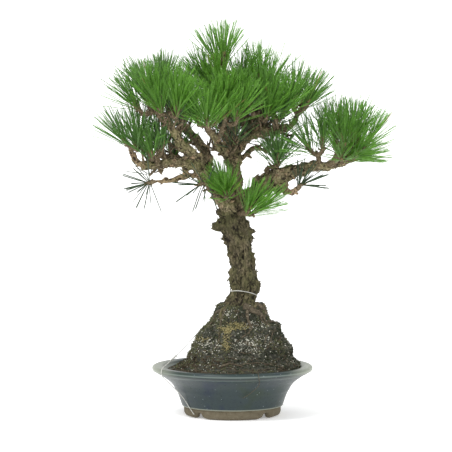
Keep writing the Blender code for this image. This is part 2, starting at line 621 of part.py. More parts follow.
def grow_needles(neighbours, name, twigs, sparse):
    """Roots and tips of the needles of one mass, fanned round the end of each shoot."""
    rng = random.Random(name + " needles")
    own = Neighbours()
    needles = []
    count = SPARSE_NEEDLES if sparse else NEEDLES_PER_SHOOT
    for line, _ in twigs[1:]:
        heading = unit(line[-1] - line[-2])
        across = unit(np.cross(heading, [0.35, 0.8, 0.2]))
        other = np.cross(heading, across)
        turn = rng.uniform(0, 2 * math.pi)
        candle = min(CANDLE, 0.8 * line_length(line))
        for needle in range(count):
            share = (needle + 0.5) / count
            angle = turn + GOLDEN_ANGLE * needle
            lean = NARROWEST_ANGLE + (WIDEST_ANGLE - NARROWEST_ANGLE) * share
            lean += rng.uniform(-0.06, 0.06)
            sideways = across * math.cos(angle) + other * math.sin(angle)
            root = line[-1] - heading * candle * share + sideways * SHOOT_RADIUS * ROOT_OUT
            direction = heading * math.cos(lean) + sideways * math.sin(lean)
            tip = root + direction * NEEDLE_LENGTH * rng.uniform(0.90, 1.04)
            outer = root + (tip - root) * SHARED_ROOT
            room = NEEDLE_RADIUS + NEEDLE_CLEARANCE
            if neighbours.gaps(root, tip, (name,)).min() < room:
                continue
            if own.gaps(outer, tip).min() < NEEDLE_RADIUS:
                continue
            own.add([outer, tip], [NEEDLE_RADIUS] * 2, name)
            needles.append((root, tip))
    for root, tip in needles:
        neighbours.add([root, tip], [NEEDLE_RADIUS] * 2, name)
    return needles


def needle_mesh(root, tip):
    """A three-sided spike, widest at its root."""
    heading = unit(tip - root)
    across = unit(np.cross(heading, [0.3, 0.5, 0.8]))
    other = np.cross(heading, across)
    points = [root + (across * math.cos(turn) + other * math.sin(turn)) * NEEDLE_RADIUS
              for turn in (0.0, 2 * math.pi / 3, 4 * math.pi / 3)]
    points.append(tip)
    return mesh_from("needle", points, [(0, 1, 2), (0, 1, 3), (1, 2, 3), (2, 0, 3)])


def make_mass(name, limb, twigs, needles, cutters, material):
    stem_path, stem_radii = twigs[0]
    mass = add_object(name, tube_mesh(name, stem_path, stem_radii, STEM_SIDES), material)
    parts = [add_object("twig", tube_mesh("twig", line, radii, SHOOT_SIDES)) for line, radii in twigs[1:]]
    parts += [add_object("needle", needle_mesh(root, tip)) for root, tip in needles]
    boolean(mass, parts, "UNION")
    boolean(mass, [cutters(limb)], "DIFFERENCE")
    keep_largest_body(mass.data)
    return mass


def make_tree(bark, green):
    """Trunk, boughs and foliage masses, each cut clear of the one that carries it."""
    lines = {"trunk": trunk_line()}
    trunk = make_trunk(bark)
    made = {"trunk": trunk}

    def fat_copy(limb):
        """The limb a little fatter, to cut its neighbours with."""
        if limb == "trunk":
            return make_trunk(None, grow=CUT_CLEARANCE)
        path, radii = lines[limb]
        mesh = tube_mesh("cutter", path, radii, LIMB_SIDES, lump=limb_lump(limb), grow=CUT_CLEARANCE)
        return add_object("cutter", mesh)

    for name, way, start_radius, tip_radius in LIMBS:
        path, radii = limb_line(name, way, start_radius, tip_radius)
        limb = add_object(name, tube_mesh(name, path, radii, LIMB_SIDES, lump=limb_lump(name)), bark)
        bpy.context.view_layer.update()
        near = [other for other in made if boxes_meet(limb, made[other])]
        for other in near:
            boolean(limb, [fat_copy(other)], "DIFFERENCE")
            keep_largest_body(limb.data)
        shade_round(limb.data)
        lines[name] = (path, radii)
        made[name] = limb

    neighbours = Neighbours()
    for name, (path, radii) in lines.items():
        neighbours.add(path, radii * (1 + LUMP), name)
    for start, end, first, last in STUBS:
        neighbours.add([start, end], [first, last], "stub")
    grown = {}
    for name, limb, share, centre, aim, shoots, spread in MASSES:
        grown[name] = grow_twigs(lines, neighbours, name, limb, share, centre, aim, shoots, spread)
    count = 0
    for name, limb, _, _, _, shoots, _ in MASSES:
        needles = grow_needles(neighbours, name, grown[name], shoots == 1)
        make_mass(name, limb, grown[name], needles, fat_copy, green)
        count += len(needles)
    print(count, "needles")
    return trunk


def surface_of(obj):
    bm = bmesh.new()
    bm.from_mesh(obj.data)
    tree = BVHTree.FromBMesh(bm)
    bm.free()
    return tree


def make_wire(material, pieces):
    """One round of the trunk's foot and a tail over the mound, rim and wall, laid just clear of each surface."""
    way = []
    for step in range(WIRE_LOOP_STEPS + 1):
        angle = WIRE_LOOP_START + WIRE_LOOP_SWEEP * step / WIRE_LOOP_STEPS
        way.append((WIRE_LOOP_CENTRE[0] + WIRE_LOOP_RADIUS * math.cos(angle),
                    WIRE_LOOP_CENTRE[1] + WIRE_LOOP_RADIUS * math.sin(angle),
                    WIRE_LOOP_HEIGHT - WIRE_LOOP_TILT * math.cos(angle - WIRE_LOOP_LOW_SIDE)))
    way += WIRE_TAIL
    rough = smooth_line(way, 60)
    path = smooth_line(way, round(line_length(rough) / WIRE_STEP))
    surfaces = [surface_of(piece) for piece in pieces]
    for _ in range(6):
        for i, point in enumerate(path):
            for surface in surfaces:
                place, normal, _, distance = surface.find_nearest(Vector(point))
                inside = (Vector(point) - place).dot(normal) < 0
                short = WIRE_RADIUS + WIRE_GAP + (distance if inside else -distance)
                if short > 0 and distance < WIRE_REACH:
                    path[i] = point = np.array(Vector(point) + normal * short)
    mesh = tube_mesh("tie_wire", path, [WIRE_RADIUS] * len(path), WIRE_SIDES)
    shade_round(mesh)
    return add_object("tie_wire", mesh, material)


def move_to_origin():
    """Puts the middle of the bounding box's base at the origin."""
    bpy.context.view_layer.update()
    corners = np.array([obj.matrix_world @ Vector(corner) for obj in bpy.data.objects for corner in obj.bound_box])
    low, high = corners.min(axis=0), corners.max(axis=0)
    shift = Matrix.Translation((-(low[0] + high[0]) / 2, -(low[1] + high[1]) / 2, -low[2]))
    for obj in bpy.data.objects:
        obj.data.transform(shift)


def main():
    clear_scene()
    materials = {name: make_material(name) for name in FINISHES}
    pot = make_pot(materials["glazed_stoneware"])
    soil = make_soil(materials["soil"])
    trunk = make_tree(materials["bark"], materials["needles"])
    make_wire(materials["wire"], (pot, soil, trunk))
    move_to_origin()


main()
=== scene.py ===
"""Looks of the Japanese black pine bonsai: glazed pot, mossy root ball, tie wire, barked limbs and needles.

Sizes are in metres and +Z is up. Shapes are made round the pot's axis, with -Y as the front, and then moved
to the place that the pot has in the frame. The limbs and twigs follow the rule
that the solids were grown by.
"""

import itertools
import math
import random

import bmesh
import bpy
import numpy as np
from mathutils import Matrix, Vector
from mathutils.bvhtree import BVHTree
from mathutils.kdtree import KDTree


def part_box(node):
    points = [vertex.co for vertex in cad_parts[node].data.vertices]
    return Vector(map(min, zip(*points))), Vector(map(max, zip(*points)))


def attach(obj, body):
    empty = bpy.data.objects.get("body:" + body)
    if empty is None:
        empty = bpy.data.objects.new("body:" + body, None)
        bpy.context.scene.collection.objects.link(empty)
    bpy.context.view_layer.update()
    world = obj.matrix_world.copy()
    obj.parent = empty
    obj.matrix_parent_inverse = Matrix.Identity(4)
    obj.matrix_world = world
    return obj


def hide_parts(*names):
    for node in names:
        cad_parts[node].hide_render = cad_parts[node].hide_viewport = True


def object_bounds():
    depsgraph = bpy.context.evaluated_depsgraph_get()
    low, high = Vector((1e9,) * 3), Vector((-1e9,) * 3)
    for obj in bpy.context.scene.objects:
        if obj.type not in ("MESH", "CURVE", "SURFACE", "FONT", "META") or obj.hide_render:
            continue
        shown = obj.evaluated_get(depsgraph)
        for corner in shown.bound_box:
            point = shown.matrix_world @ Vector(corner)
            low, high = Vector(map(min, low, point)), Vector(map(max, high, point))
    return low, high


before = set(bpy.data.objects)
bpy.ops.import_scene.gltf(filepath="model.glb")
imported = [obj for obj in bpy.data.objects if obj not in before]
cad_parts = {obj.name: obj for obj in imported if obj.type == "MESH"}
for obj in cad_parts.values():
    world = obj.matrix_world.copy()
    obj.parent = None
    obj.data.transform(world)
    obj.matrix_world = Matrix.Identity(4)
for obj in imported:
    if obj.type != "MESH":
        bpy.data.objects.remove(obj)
CAD_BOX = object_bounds()
POT_LOW, POT_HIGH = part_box("pot")
POT_AXIS = np.array([(POT_LOW.x + POT_HIGH.x) / 2, (POT_LOW.y + POT_HIGH.y) / 2, 0.0])
UP = np.array([0.0, 0.0, 1.0])

# Camera: a long lens that looks down a little, aimed at a point beside the pot's axis.
CAMERA_DISTANCE = 6.0
CAMERA_PITCH = math.radians(4.4)
CAMERA_LENS = 256.8
CAMERA_AIM = (-0.01191, 0.0, 0.353425)

# Stage: floor, sky and suns, each sun with the direction that it shines from, its softness and its strength.
FLOOR_SIZE = 600.0
SKY_STRENGTH = 1.0
SUNS = [("key", (-0.55, -0.75, 1.10), math.radians(20.0), 1.9),
        ("fill", (0.9, -0.9, 0.5), math.radians(40.0), 0.5)]
FLOOR_COLOUR = (0.92, 0.92, 0.92)
FLOOR_GLOW = 0.30

# Pot, as in the solids: radius and height of its walls.
RIM_RADIUS = 0.150
RIM_TOP = 0.0933
LIP_THICKNESS = 0.0106
FOOT_RADIUS = 0.0845
FOOT_INNER_RADIUS = 0.076
FOOT_RECESS = 0.0105
DRAIN_RADIUS = 0.012
FLOOR_TOP = 0.0195
FOOT_WALL = [(0.0880, 0.0026), (0.0902, 0.0075), (0.0905, 0.0174)]
OUTER_WALL = [(0.0945, 0.0188), (0.0966, 0.0264), (0.1022, 0.0414), (0.1065, 0.0490), (0.1107, 0.0565),
              (0.1172, 0.0640), (0.1300, 0.0735), (0.1440, 0.0822)]
INNER_WALL = [(0.1300, 0.0922), (0.1265, 0.0880), (0.1180, 0.0800), (0.1050, 0.0690), (0.0950, 0.0500),
              (0.0850, 0.0260), (0.0780, FLOOR_TOP)]
# Corners of the underside and of the glaze's lower edge: radius, height and rounding.
FLOOR_MIDDLE = 0.045
UNDERSIDE = [(DRAIN_RADIUS, FOOT_RECESS, 0), (FLOOR_MIDDLE, FOOT_RECESS, 0),
             (FOOT_INNER_RADIUS, FOOT_RECESS, 0.0015), (FOOT_INNER_RADIUS + 0.002, 0.0, 0.0010),
             (0.0812, 0.0, 0), (FOOT_RADIUS, 0.0, 0.0012)]
GLAZE_START = 0.0184
GLAZE_BASE = [FOOT_WALL[-1] + (0,), (0.0908, 0.0182, 0.0002), (0.0926, 0.0182, 0.0005),
              (0.0940, 0.0186, 0.0005), OUTER_WALL[1] + (0,)]
INNER_LIP = (0.1360, 0.0930, 0)
LIP_START = math.radians(-55.0)
LIP_SWEEP = math.radians(150.0)
# Low bead on the wall under the lip.
BEAD_HEIGHT = 0.0802
BEAD_RISE = 0.0011
BEAD_HALF_WIDTH = 0.0016
FOOT_COUNT = 4
ARCH_HALF_WIDTH = 0.0088
ARCH_HEIGHT = 0.0080
ARCH_FLARE = 0.0030
ARCH_ROUNDING = 0.0105
POT_SIDES = 180

# Root ball: height, middle in X, half width, and half depth as a share of the half width.
MOUND_RINGS = [(0.0850, 0.000, 0.1215, 1.00), (0.0910, 0.010, 0.1150, 0.98), (0.0978, 0.016, 0.1075, 0.96),
               (0.1053, 0.015, 0.0985, 0.94), (0.1130, 0.014, 0.0960, 0.92), (0.1280, 0.017, 0.0915, 0.90),
               (0.1430, 0.017, 0.0825, 0.90), (0.1580, 0.017, 0.0740, 0.92), (0.1670, 0.020, 0.0690, 0.94),
               (0.1749, 0.015, 0.0545, 0.97)]
# Moss and soil that climb the trunk's foot, in the same terms.
COLLAR_RINGS = [(0.1795, 0.0150, 0.0530, 0.98), (0.1860, 0.0152, 0.0495, 0.99),
                (0.1940, 0.0155, 0.0462, 1.00), (0.2015, 0.0165, 0.0425, 1.00),
                (0.2075, 0.0175, 0.0360, 1.00)]
MOUND_LINE = np.array(MOUND_RINGS + COLLAR_RINGS)
MOUND_SHARES = np.concatenate([[0.0], np.cumsum(np.hypot(np.diff(MOUND_LINE[:, 0]), np.diff(MOUND_LINE[:, 2])))])
MOUND_SHARES /= MOUND_SHARES[-1]
MOUND_CENTRE = np.array([0.010, 0.0, 0.110])
MOUND_TOP = np.array([0.0172, 0.0, 0.2055])
MOUND_SIDES = 300
MOUND_ROWS = 120

# Trunk: middle in X and Y, height and radius at each station, from the flat cut to the fork.
TRUNK_STATIONS = [(0.014, 0.000, 0.1752, 0.0450), (0.015, 0.000, 0.1880, 0.0420),
                  (0.016, 0.000, 0.1990, 0.0395), (0.017, 0.000, 0.2080, 0.0330),
                  (0.018, 0.000, 0.2170, 0.0252), (0.021, 0.000, 0.2300, 0.0245),
                  (0.023, 0.000, 0.2430, 0.0275), (0.021, 0.000, 0.2620, 0.0238),
                  (0.021, 0.002, 0.2800, 0.0212), (0.018, 0.003, 0.2950, 0.0225),
                  (0.014, 0.004, 0.3150, 0.0252), (0.010, 0.004, 0.3360, 0.0270),
                  (0.004, 0.002, 0.3520, 0.0258), (0.001, 0.002, 0.3690, 0.0222),
                  (0.000, 0.003, 0.3830, 0.0218), (0.003, 0.006, 0.3980, 0.0165),
                  (0.006, 0.011, 0.4240, 0.0138), (0.003, 0.012, 0.4550, 0.0136),
                  (-0.003, 0.010, 0.4790, 0.0125)]
TRUNK_RINGS = 25
# Girth that the stubs and the trunk's burls are coloured by.
STUB_GIRTH = 0.0200
ROOT_FLARE_LOBE = 0.10
ROOT_FLARE_LOBES = 5
STUBS = [((-0.008, 0.002, 0.349), (-0.036, -0.004, 0.354), 0.0125, 0.0085),
         ((-0.002, -0.004, 0.372), (-0.029, -0.012, 0.381), 0.0085, 0.0060),
         ((0.012, 0.002, 0.336), (0.041, -0.006, 0.345), 0.0100, 0.0060)]

# Boughs: name, way from the start inside the parent to the tip, radius at the start and at the tip.
LIMBS = [
    ("left_bough", [(-0.003, -0.002, 0.383), (-0.018, -0.013, 0.405), (-0.035, -0.019, 0.431),
                    (-0.066, -0.022, 0.468)], 0.0150, 0.0140),
    ("big_right_bough", [(0.006, 0.004, 0.384), (0.029, 0.002, 0.402), (0.048, 0.000, 0.421),
                         (0.066, -0.002, 0.435), (0.083, -0.004, 0.443)], 0.0135, 0.0185),
    ("low_left_bough", [(-0.058, -0.022, 0.462), (-0.079, -0.024, 0.472), (-0.107, -0.029, 0.474),
                        (-0.138, -0.039, 0.470), (-0.168, -0.044, 0.469)], 0.0125, 0.0078),
    ("low_left_tip", [(-0.166, -0.044, 0.469),
     (-0.179, -0.046, 0.480), (-0.187, -0.049, 0.495)], 0.0062, 0.0044),
    ("mid_left_bough", [(-0.060, -0.022, 0.467), (-0.075, -0.034, 0.489), (-0.098, -0.052, 0.514),
                        (-0.117, -0.074, 0.554)], 0.0120, 0.0066),
    ("back_left_bough", [(-0.045, -0.016, 0.448), (-0.049, 0.014, 0.488), (-0.064, 0.038, 0.508),
                         (-0.095, 0.068, 0.540), (-0.125, 0.084, 0.574)], 0.0116, 0.0062),
    ("left_leader", [(-0.003, 0.008, 0.474), (-0.017, -0.014, 0.497), (-0.030, -0.034, 0.514),
                     (-0.041, -0.050, 0.531)], 0.0110, 0.0064),
    ("right_leader", [(0.002, 0.012, 0.470), (0.011, 0.021, 0.500), (0.027, 0.031, 0.532),
                      (0.044, 0.034, 0.558), (0.053, 0.034, 0.578)], 0.0126, 0.0062),
    ("apex_leader", [(0.000, 0.012, 0.484), (0.004, 0.010, 0.531), (0.001, 0.008, 0.576),
                     (-0.006, 0.006, 0.615), (-0.014, 0.005, 0.642)], 0.0086, 0.0044),
    ("upper_right_bough", [(0.015, 0.022, 0.510), (0.038, 0.012, 0.523), (0.065, -0.002, 0.529),
                           (0.105, -0.016, 0.538)], 0.0098, 0.0078),
    ("outer_right_bough", [(0.078, -0.004, 0.445), (0.107, -0.006, 0.455), (0.137, -0.009, 0.462),
                           (0.172, -0.010, 0.466), (0.209, -0.010, 0.473)], 0.0134, 0.0074),
    ("back_bough", [(-0.001, 0.010, 0.462), (-0.006, 0.050, 0.492), (-0.013, 0.092, 0.519),
                    (-0.016, 0.120, 0.542)], 0.0104, 0.0060),
    ("back_right_bough", [(0.012, 0.022, 0.500), (0.036, 0.056, 0.522), (0.058, 0.094, 0.542),
                          (0.068, 0.118, 0.560)], 0.0094, 0.0056),
    ("small_right_twig", [(0.012, 0.012, 0.474), (0.034, 0.024, 0.494), (0.050, 0.042, 0.496),
                          (0.063, 0.058, 0.491)], 0.0060, 0.0036),
    ("low_twig", [(-0.060, -0.020, 0.452), (-0.086, -0.024, 0.448), (-0.112, -0.037, 0.441),
                  (-0.146, -0.056, 0.440)], 0.0062, 0.0034),
    ("hook", [(0.088, -0.004, 0.440), (0.100, -0.014, 0.420), (0.112, -0.024, 0.419),
              (0.121, -0.032, 0.426)], 0.0066, 0.0040),
]
RING_SPACING = 0.0195
KNUCKLE = 0.09
KNUCKLE_LENGTH = 0.034
WANDER = 0.16
LUMP = 0.07

# Foliage: name, limb, place along it, middle of the shoot tips, aim, shoots, spread and shade of green.
MASSES = [
    ("low_left_outer", "low_left_tip", 1.00, (-0.182, -0.054, 0.514), (-0.36, -0.15, 0.92), 3, 0.016, "blue"),
    ("low_left_inner", "low_left_bough", 0.72, (-0.141, -0.052, 0.496),
     (-0.12, -0.25, 1.00), 2, 0.016, "blue"),
    ("low_left_back", "low_left_bough", 0.52, (-0.124, 0.006, 0.494), (0.00, 0.55, 0.90), 2, 0.016, "deep"),
    ("low_left_sparse", "low_twig", 1.00, (-0.160, -0.064, 0.436), (-0.80, -0.30, -0.25), 1, 0.000, "shaded"),
    ("left_bough_sparse", "left_bough", 0.35, (-0.060, -0.052, 0.434),
     (-0.85, -0.45, -0.10), 1, 0.000, "shaded"),
    ("left_front", "mid_left_bough", 1.00, (-0.114, -0.094, 0.578), (0.00, -0.35, 1.00), 3, 0.022, "bright"),
    ("left_outer", "mid_left_bough", 0.88, (-0.160, -0.070, 0.590), (-0.38, -0.05, 0.95), 3, 0.020, "middle"),
    ("left_upper", "back_left_bough", 1.00, (-0.141, 0.074, 0.606), (-0.15, 0.10, 1.00), 3, 0.018, "blue"),
    ("left_rear", "back_left_bough", 0.78, (-0.099, 0.118, 0.574), (0.00, 0.60, 0.85), 3, 0.020, "middle"),
    ("centre_left", "left_leader", 1.00, (-0.047, -0.082, 0.560), (-0.10, -0.35, 1.00), 3, 0.020, "bright"),
    ("centre_front", "left_leader", 0.70, (-0.004, -0.062, 0.572), (0.08, -0.30, 1.00), 3, 0.018, "bright"),
    ("apex", "apex_leader", 1.00, (-0.020, 0.002, 0.667), (-0.02, 0.00, 1.00), 3, 0.010, "bright"),
    ("apex_left", "apex_leader", 0.80, (-0.048, 0.014, 0.622), (-0.30, 0.00, 0.95), 2, 0.012, "middle"),
    ("apex_right", "apex_leader", 0.80, (0.018, 0.022, 0.622), (0.15, 0.10, 1.00), 2, 0.012, "middle"),
    ("apex_front", "apex_leader", 0.55, (-0.018, -0.034, 0.604), (-0.10, -0.60, 0.85), 2, 0.016, "bright"),
    ("apex_rear", "apex_leader", 0.55, (-0.006, 0.052, 0.602), (0.05, 0.65, 0.80), 2, 0.016, "middle"),
    ("right_top", "right_leader", 1.00, (0.056, 0.034, 0.629), (0.06, 0.06, 1.00), 3, 0.014, "bright"),
    ("right_front", "right_leader", 0.78, (0.052, -0.026, 0.578), (0.05, -0.45, 0.95), 3, 0.020, "middle"),
    ("upper_right_inner", "upper_right_bough", 0.70, (0.086, -0.026, 0.576),
     (0.10, -0.25, 1.00), 2, 0.014, "bright"),
    ("upper_right_outer", "upper_right_bough", 1.00, (0.128, -0.020, 0.588),
     (0.36, -0.05, 0.95), 3, 0.018, "middle"),
    ("right_inner", "big_right_bough", 0.76, (0.083, -0.010, 0.482), (0.00, -0.20, 1.00), 2, 0.010, "blue"),
    ("small_right", "small_right_twig", 1.00, (0.073, 0.068, 0.500), (0.25, 0.55, 0.80), 1, 0.000, "deep"),
    ("outer_right_left", "outer_right_bough", 0.66, (0.155, -0.024, 0.503),
     (-0.30, -0.20, 1.00), 2, 0.014, "middle"),
    ("outer_right_centre", "outer_right_bough", 0.82, (0.205, -0.012, 0.526),
     (-0.02, 0.05, 1.00), 3, 0.020, "middle"),
    ("outer_right_top", "outer_right_bough", 0.91, (0.234, -0.012, 0.518),
     (0.24, 0.00, 0.95), 3, 0.019, "bright"),
    ("outer_right_low", "outer_right_bough", 1.00, (0.217, -0.022, 0.482),
     (0.85, -0.30, 0.38), 2, 0.012, "bright"),
    ("outer_right_front", "outer_right_bough", 0.74, (0.212, -0.060, 0.495),
     (0.15, -0.85, 0.50), 3, 0.018, "middle"),
    ("outer_right_rear", "outer_right_bough", 0.78, (0.210, 0.042, 0.502),
     (0.05, 0.80, 0.60), 3, 0.018, "middle"),
    ("hook_sparse", "hook", 1.00, (0.126, -0.038, 0.432), (0.90, -0.25, 0.35), 1, 0.000, "shaded"),
    ("burl_right", "trunk", 0.66, (0.036, -0.036, 0.386), (0.62, -0.45, 0.75), 2, 0.010, "bright"),
    ("burl_front", "trunk", 0.76, (-0.014, -0.040, 0.420), (-0.25, -0.45, 1.00), 2, 0.010, "bright"),
    ("rear_centre", "back_bough", 1.00, (-0.019, 0.138, 0.566), (-0.05, 0.45, 0.90), 3, 0.020, "middle"),
    ("rear_low", "back_bough", 0.62, (0.012, 0.122, 0.516), (0.10, 0.85, 0.45), 2, 0.014, "deep"),
    ("rear_right", "back_right_bough", 1.00, (0.079, 0.134, 0.582), (0.30, 0.45, 0.85), 3, 0.020, "middle"),
]
# Shades that the sprays of one mass are dealt from.
NEARBY_SHADES = {"bright": ("bright", "bright", "fresh", "middle"),
                 "middle": ("middle", "middle", "bright", "deep"),
                 "deep": ("deep", "middle", "blue"), "blue": ("blue", "middle", "deep"),
                 "shaded": ("shaded",)}
STEM_RADIUS = 0.0040
SHOOT_RADIUS = 0.0033
BUD_RADIUS = 0.0027
HUB = 0.55
CANDLE = 0.026
SPLAY = 0.32
TWIG_CLEARANCE = 0.0012
GOLDEN_ANGLE = math.pi * (3.0 - math.sqrt(5.0))

# Finer growth than the solids have: side shoots round the end of each shoot, and bundles of paired needles.
SIDE_SHOOTS = 2
SIDE_SHOOT_LENGTH = 0.017
SIDE_SHOOT_RADIUS = 0.0023
SIDE_LEAN = (math.radians(8.0), math.radians(19.0))
PAIRS = 34
SIDE_PAIRS = 18
SPARSE_PAIRS = 18
PAIR_ANGLE = math.radians(1.0)
# How full the sprays of a mass are, where they are more open than the rest.
FULLNESS = {"apex": 0.50, "right_top": 0.36, "upper_right_outer": 0.58, "right_inner": 0.90, "apex_left": 0.65,
            "apex_right": 0.50, "left_outer": 0.75, "low_left_outer": 0.65, "low_left_inner": 0.70,
            "low_left_back": 0.60, "outer_right_left": 0.70, "outer_right_centre": 0.58,
            "outer_right_top": 0.52, "outer_right_low": 0.70, "outer_right_front": 0.42,
            "outer_right_rear": 0.45, "burl_front": 1.10, "burl_right": 0.85, "upper_right_inner": 0.85}
# Masses whose needles are shorter, as a share, whose sprays open wider, and whose thin sprays don't hang.
SHORT_MASSES = {"burl_front": 0.78, "burl_right": 0.88, "right_inner": 0.85}
WIDE_MASSES = {"right_inner": math.radians(58.0), "outer_right_left": math.radians(50.0),
               "centre_left": math.radians(44.0), "centre_front": math.radians(44.0),
               "burl_front": math.radians(44.0)}
THIN_LOWEST = {"hook_sparse": -0.12, "small_right": 0.0}
THIN_PAIRS = {"hook_sparse": 40, "small_right": 24}
NEEDLE_LENGTH = (0.064, 0.085)
SPARSE_LENGTH = (0.044, 0.060)
NEEDLE_RADIUS = 0.00057
NEEDLE_LEAN = (math.radians(2.0), math.radians(33.0))
SPARSE_LEAN = (math.radians(12.0), math.radians(95.0))
# Chance that a pair takes a neighbouring shade.
STRAY_SHADE = 0.42
# Thin bare or thinly needled twigs that fill the inside of the crown.
INNER_BOUGHS = ("low_left_bough", "mid_left_bough", "back_left_bough", "left_leader",
                "right_leader", "apex_leader", "upper_right_bough", "back_bough", "back_right_bough")
INNER_SPACING = 0.012
INNER_LENGTH = (0.018, 0.042)
INNER_RADIUS = 0.0019
INNER_FORKS = 2
INNER_FORK_LENGTH = (0.009, 0.018)
INNER_FORK_BEND = 0.006
INNER_PAIRS = 9
INNER_LEAN = (math.radians(5.0), math.radians(58.0))
INNER_NEEDLES = (0.036, 0.062)
INNER_GREEN_CHANCE = 0.35
NEEDLE_BEND = 0.006
# How far needles stay inside the solids' box, and how much of a needle has to fit in it.
BOX_MARGIN = 0.0010
SHORTEST_SHARE = 0.55
# The lowest that a needle of a full spray may point, as the height of its direction.
LOWEST_AIM = -0.06
DRY_CHANCE = 0.006
# Rings along a needle and along a short blade, their widths, and the way that their first side turns from.
NEEDLE_STEPS = (0.0, 0.35, 0.93)
NEEDLE_TAPER = (0.85, 1.00, 0.75)
BLADE_STEPS = (0.0, 0.55)
BLADE_TAPER = (0.8, 1.0)
BLADE_SIDE = np.array([0.31, 0.52, 0.79])
SPARSE_RADIUS = 0.00105
MOST_TRIANGLES = 190000
TWIG_FATNESS = 1.30
TWIG_STEP = 0.0014
TWIG_SIDES = 8
TWIG_ROUGHNESS = 0.30
# Dead spurs on stems and boughs: distance between them, length and radius.
SPUR_SPACING = 0.0085
SPUR_LENGTH = (0.0030, 0.0085)
SPUR_RADIUS = (0.0012, 0.0022)
BOUGH_SPUR_SPACING = 0.011
BOUGH_SPUR_LENGTH = (0.0035, 0.0090)
BOUGH_SPUR_RADIUS = (0.0019, 0.0036)
BUD_STATIONS = [(0.0, 0.0018), (0.0022, 0.0026), (0.0055, 0.0019), (0.0085, 0.0006)]

# Colours.
# The first bark colour is painted shade, laid into the furrows.
PAINTED_FURROW_SHADE = (0.017, 0.013, 0.008)
BARK_DARK = (0.028, 0.022, 0.014)
BARK_MIDDLE = (0.064, 0.053, 0.032)
BARK_OLIVE = (0.082, 0.077, 0.036)
BARK_LIGHT = (0.290, 0.245, 0.150)
BARK_TAN = (0.190, 0.148, 0.090)
TRUNK_TONE = (0.82, 0.81, 0.80)
BOUGH_TONE = (1.95, 1.90, 1.95)
BARK_MOSS = (0.105, 0.110, 0.040)
YOUNG_BARK = (0.240, 0.165, 0.100)
GLAZE_BLUE = (0.015, 0.025, 0.042)
GLAZE_SLATE = (0.025, 0.039, 0.041)
GLAZE_GREEN = (0.023, 0.037, 0.024)
GLAZE_LIP = (0.024, 0.037, 0.034)
# Painted highlight for the lip and the bead, and painted shadow for the groove under the lip.
PAINTED_LIP_HIGHLIGHT = (0.165, 0.200, 0.180)
PAINTED_GROOVE_SHADOW = (0.016, 0.022, 0.020)
# Pale colour: the glaze's own pale edge at the foot, and also a painted reflection at the lip's left and right ends.
PALE_FOOT_EDGE_AND_RIM_REFLECTION = (0.270, 0.290, 0.230)
GLAZE_SPECK = (0.300, 0.350, 0.360)
# Level bands of painted light round the lip: a painted highlight along the lip's front and one on the bead under it,
# and a painted shadow in the groove between; lower and upper height, strength and colour.
PAINTED_LIP_LIGHT_BANDS = [(0.0864, 0.0884, 0.55, PAINTED_LIP_HIGHLIGHT), (0.0795, 0.0810, 0.30, PAINTED_LIP_HIGHLIGHT),
               (0.0828, 0.0845, 0.60, PAINTED_GROOVE_SHADOW)]
BAND_SOFTNESS = 0.0008
# Greens of the needles; deep and shaded are darker copies of the green, painted shade for masses at the back of the
# crown and for the sparse sprays and inner needles under it.
GREENS = {"bright": (0.118, 0.300, 0.028), "fresh": (0.155, 0.345, 0.055), "middle": (0.110, 0.270, 0.036),
          "deep": (0.080, 0.195, 0.030), "blue": (0.118, 0.250, 0.066), "shaded": (0.034, 0.064, 0.028),
          "dry": (0.300, 0.230, 0.080)}
# Name: dark, middle and light colour, and the scale of the change between them.
DRY_FINISHES = {
    "soil": ((0.012, 0.012, 0.009), (0.044, 0.045, 0.034), (0.150, 0.145, 0.108), 210.0, 0.40),
    "clay": ((0.080, 0.066, 0.042), (0.135, 0.115, 0.076), (0.190, 0.165, 0.115), 160.0, 0.6),
    "twig_bark": ((0.042, 0.032, 0.020), (0.135, 0.104, 0.062), (0.300, 0.238, 0.150), 430.0, 0.34),
    "root_bark": ((0.026, 0.021, 0.014), (0.080, 0.065, 0.043), (0.200, 0.168, 0.115), 260.0, 0.42),
    "bud_scales": ((0.120, 0.070, 0.036), (0.260, 0.165, 0.090), (0.400, 0.290, 0.180), 600.0, 0.5),
    "grit": ((0.300, 0.290, 0.220), (0.520, 0.510, 0.430), (0.760, 0.750, 0.680), 500.0, 0.6),
    "moss_dark": ((0.018, 0.022, 0.014), (0.044, 0.052, 0.030), (0.105, 0.115, 0.070), 300.0, 0.45),
    "moss_olive": ((0.044, 0.050, 0.026), (0.100, 0.106, 0.052), (0.200, 0.200, 0.110), 300.0, 0.45),
    "straw": ((0.110, 0.092, 0.034), (0.340, 0.290, 0.125), (0.620, 0.560, 0.310), 420.0, 0.36),
    "litter": ((0.026, 0.020, 0.012), (0.070, 0.053, 0.032), (0.180, 0.140, 0.085), 200.0, 0.5),
}

# Bark: what is kept at each point of the mesh, ring spacing and voxel of the fused mesh, and loose flakes by
# count, length and width, with the thinnest limb and the lowest place that bear them.
MARKS = ("openness", "plate", "girth")
BARK_STEP = 0.0017
BARK_VOXEL = 0.00165
FLAKE_COUNT = 1900
FLAKE_LENGTH = (0.0045, 0.0125)
FLAKE_WIDTH = (0.0020, 0.0046)
FLAKE_THICKNESS = 0.0008
FLAKE_OUTLINE = [(-0.30, -0.45), (0.25, -0.50), (0.72, -0.22), (0.66, 0.26), (0.20, 0.50), (-0.34, 0.42)]
FLAKED_GIRTH = 0.0070
LOWEST_FLAKE = 0.205
FLAKE_TILT = (math.radians(6.0), math.radians(34.0))
# Length of a bark plate as a share of its width, and the plates' width on each kind of limb.
PLATE_STRETCH = 2.9
TRUNK_PLATE = 0.0088
STUB_PLATE = 0.008
BURL_PLATE = 0.007
SPUR_PLATE = 0.004
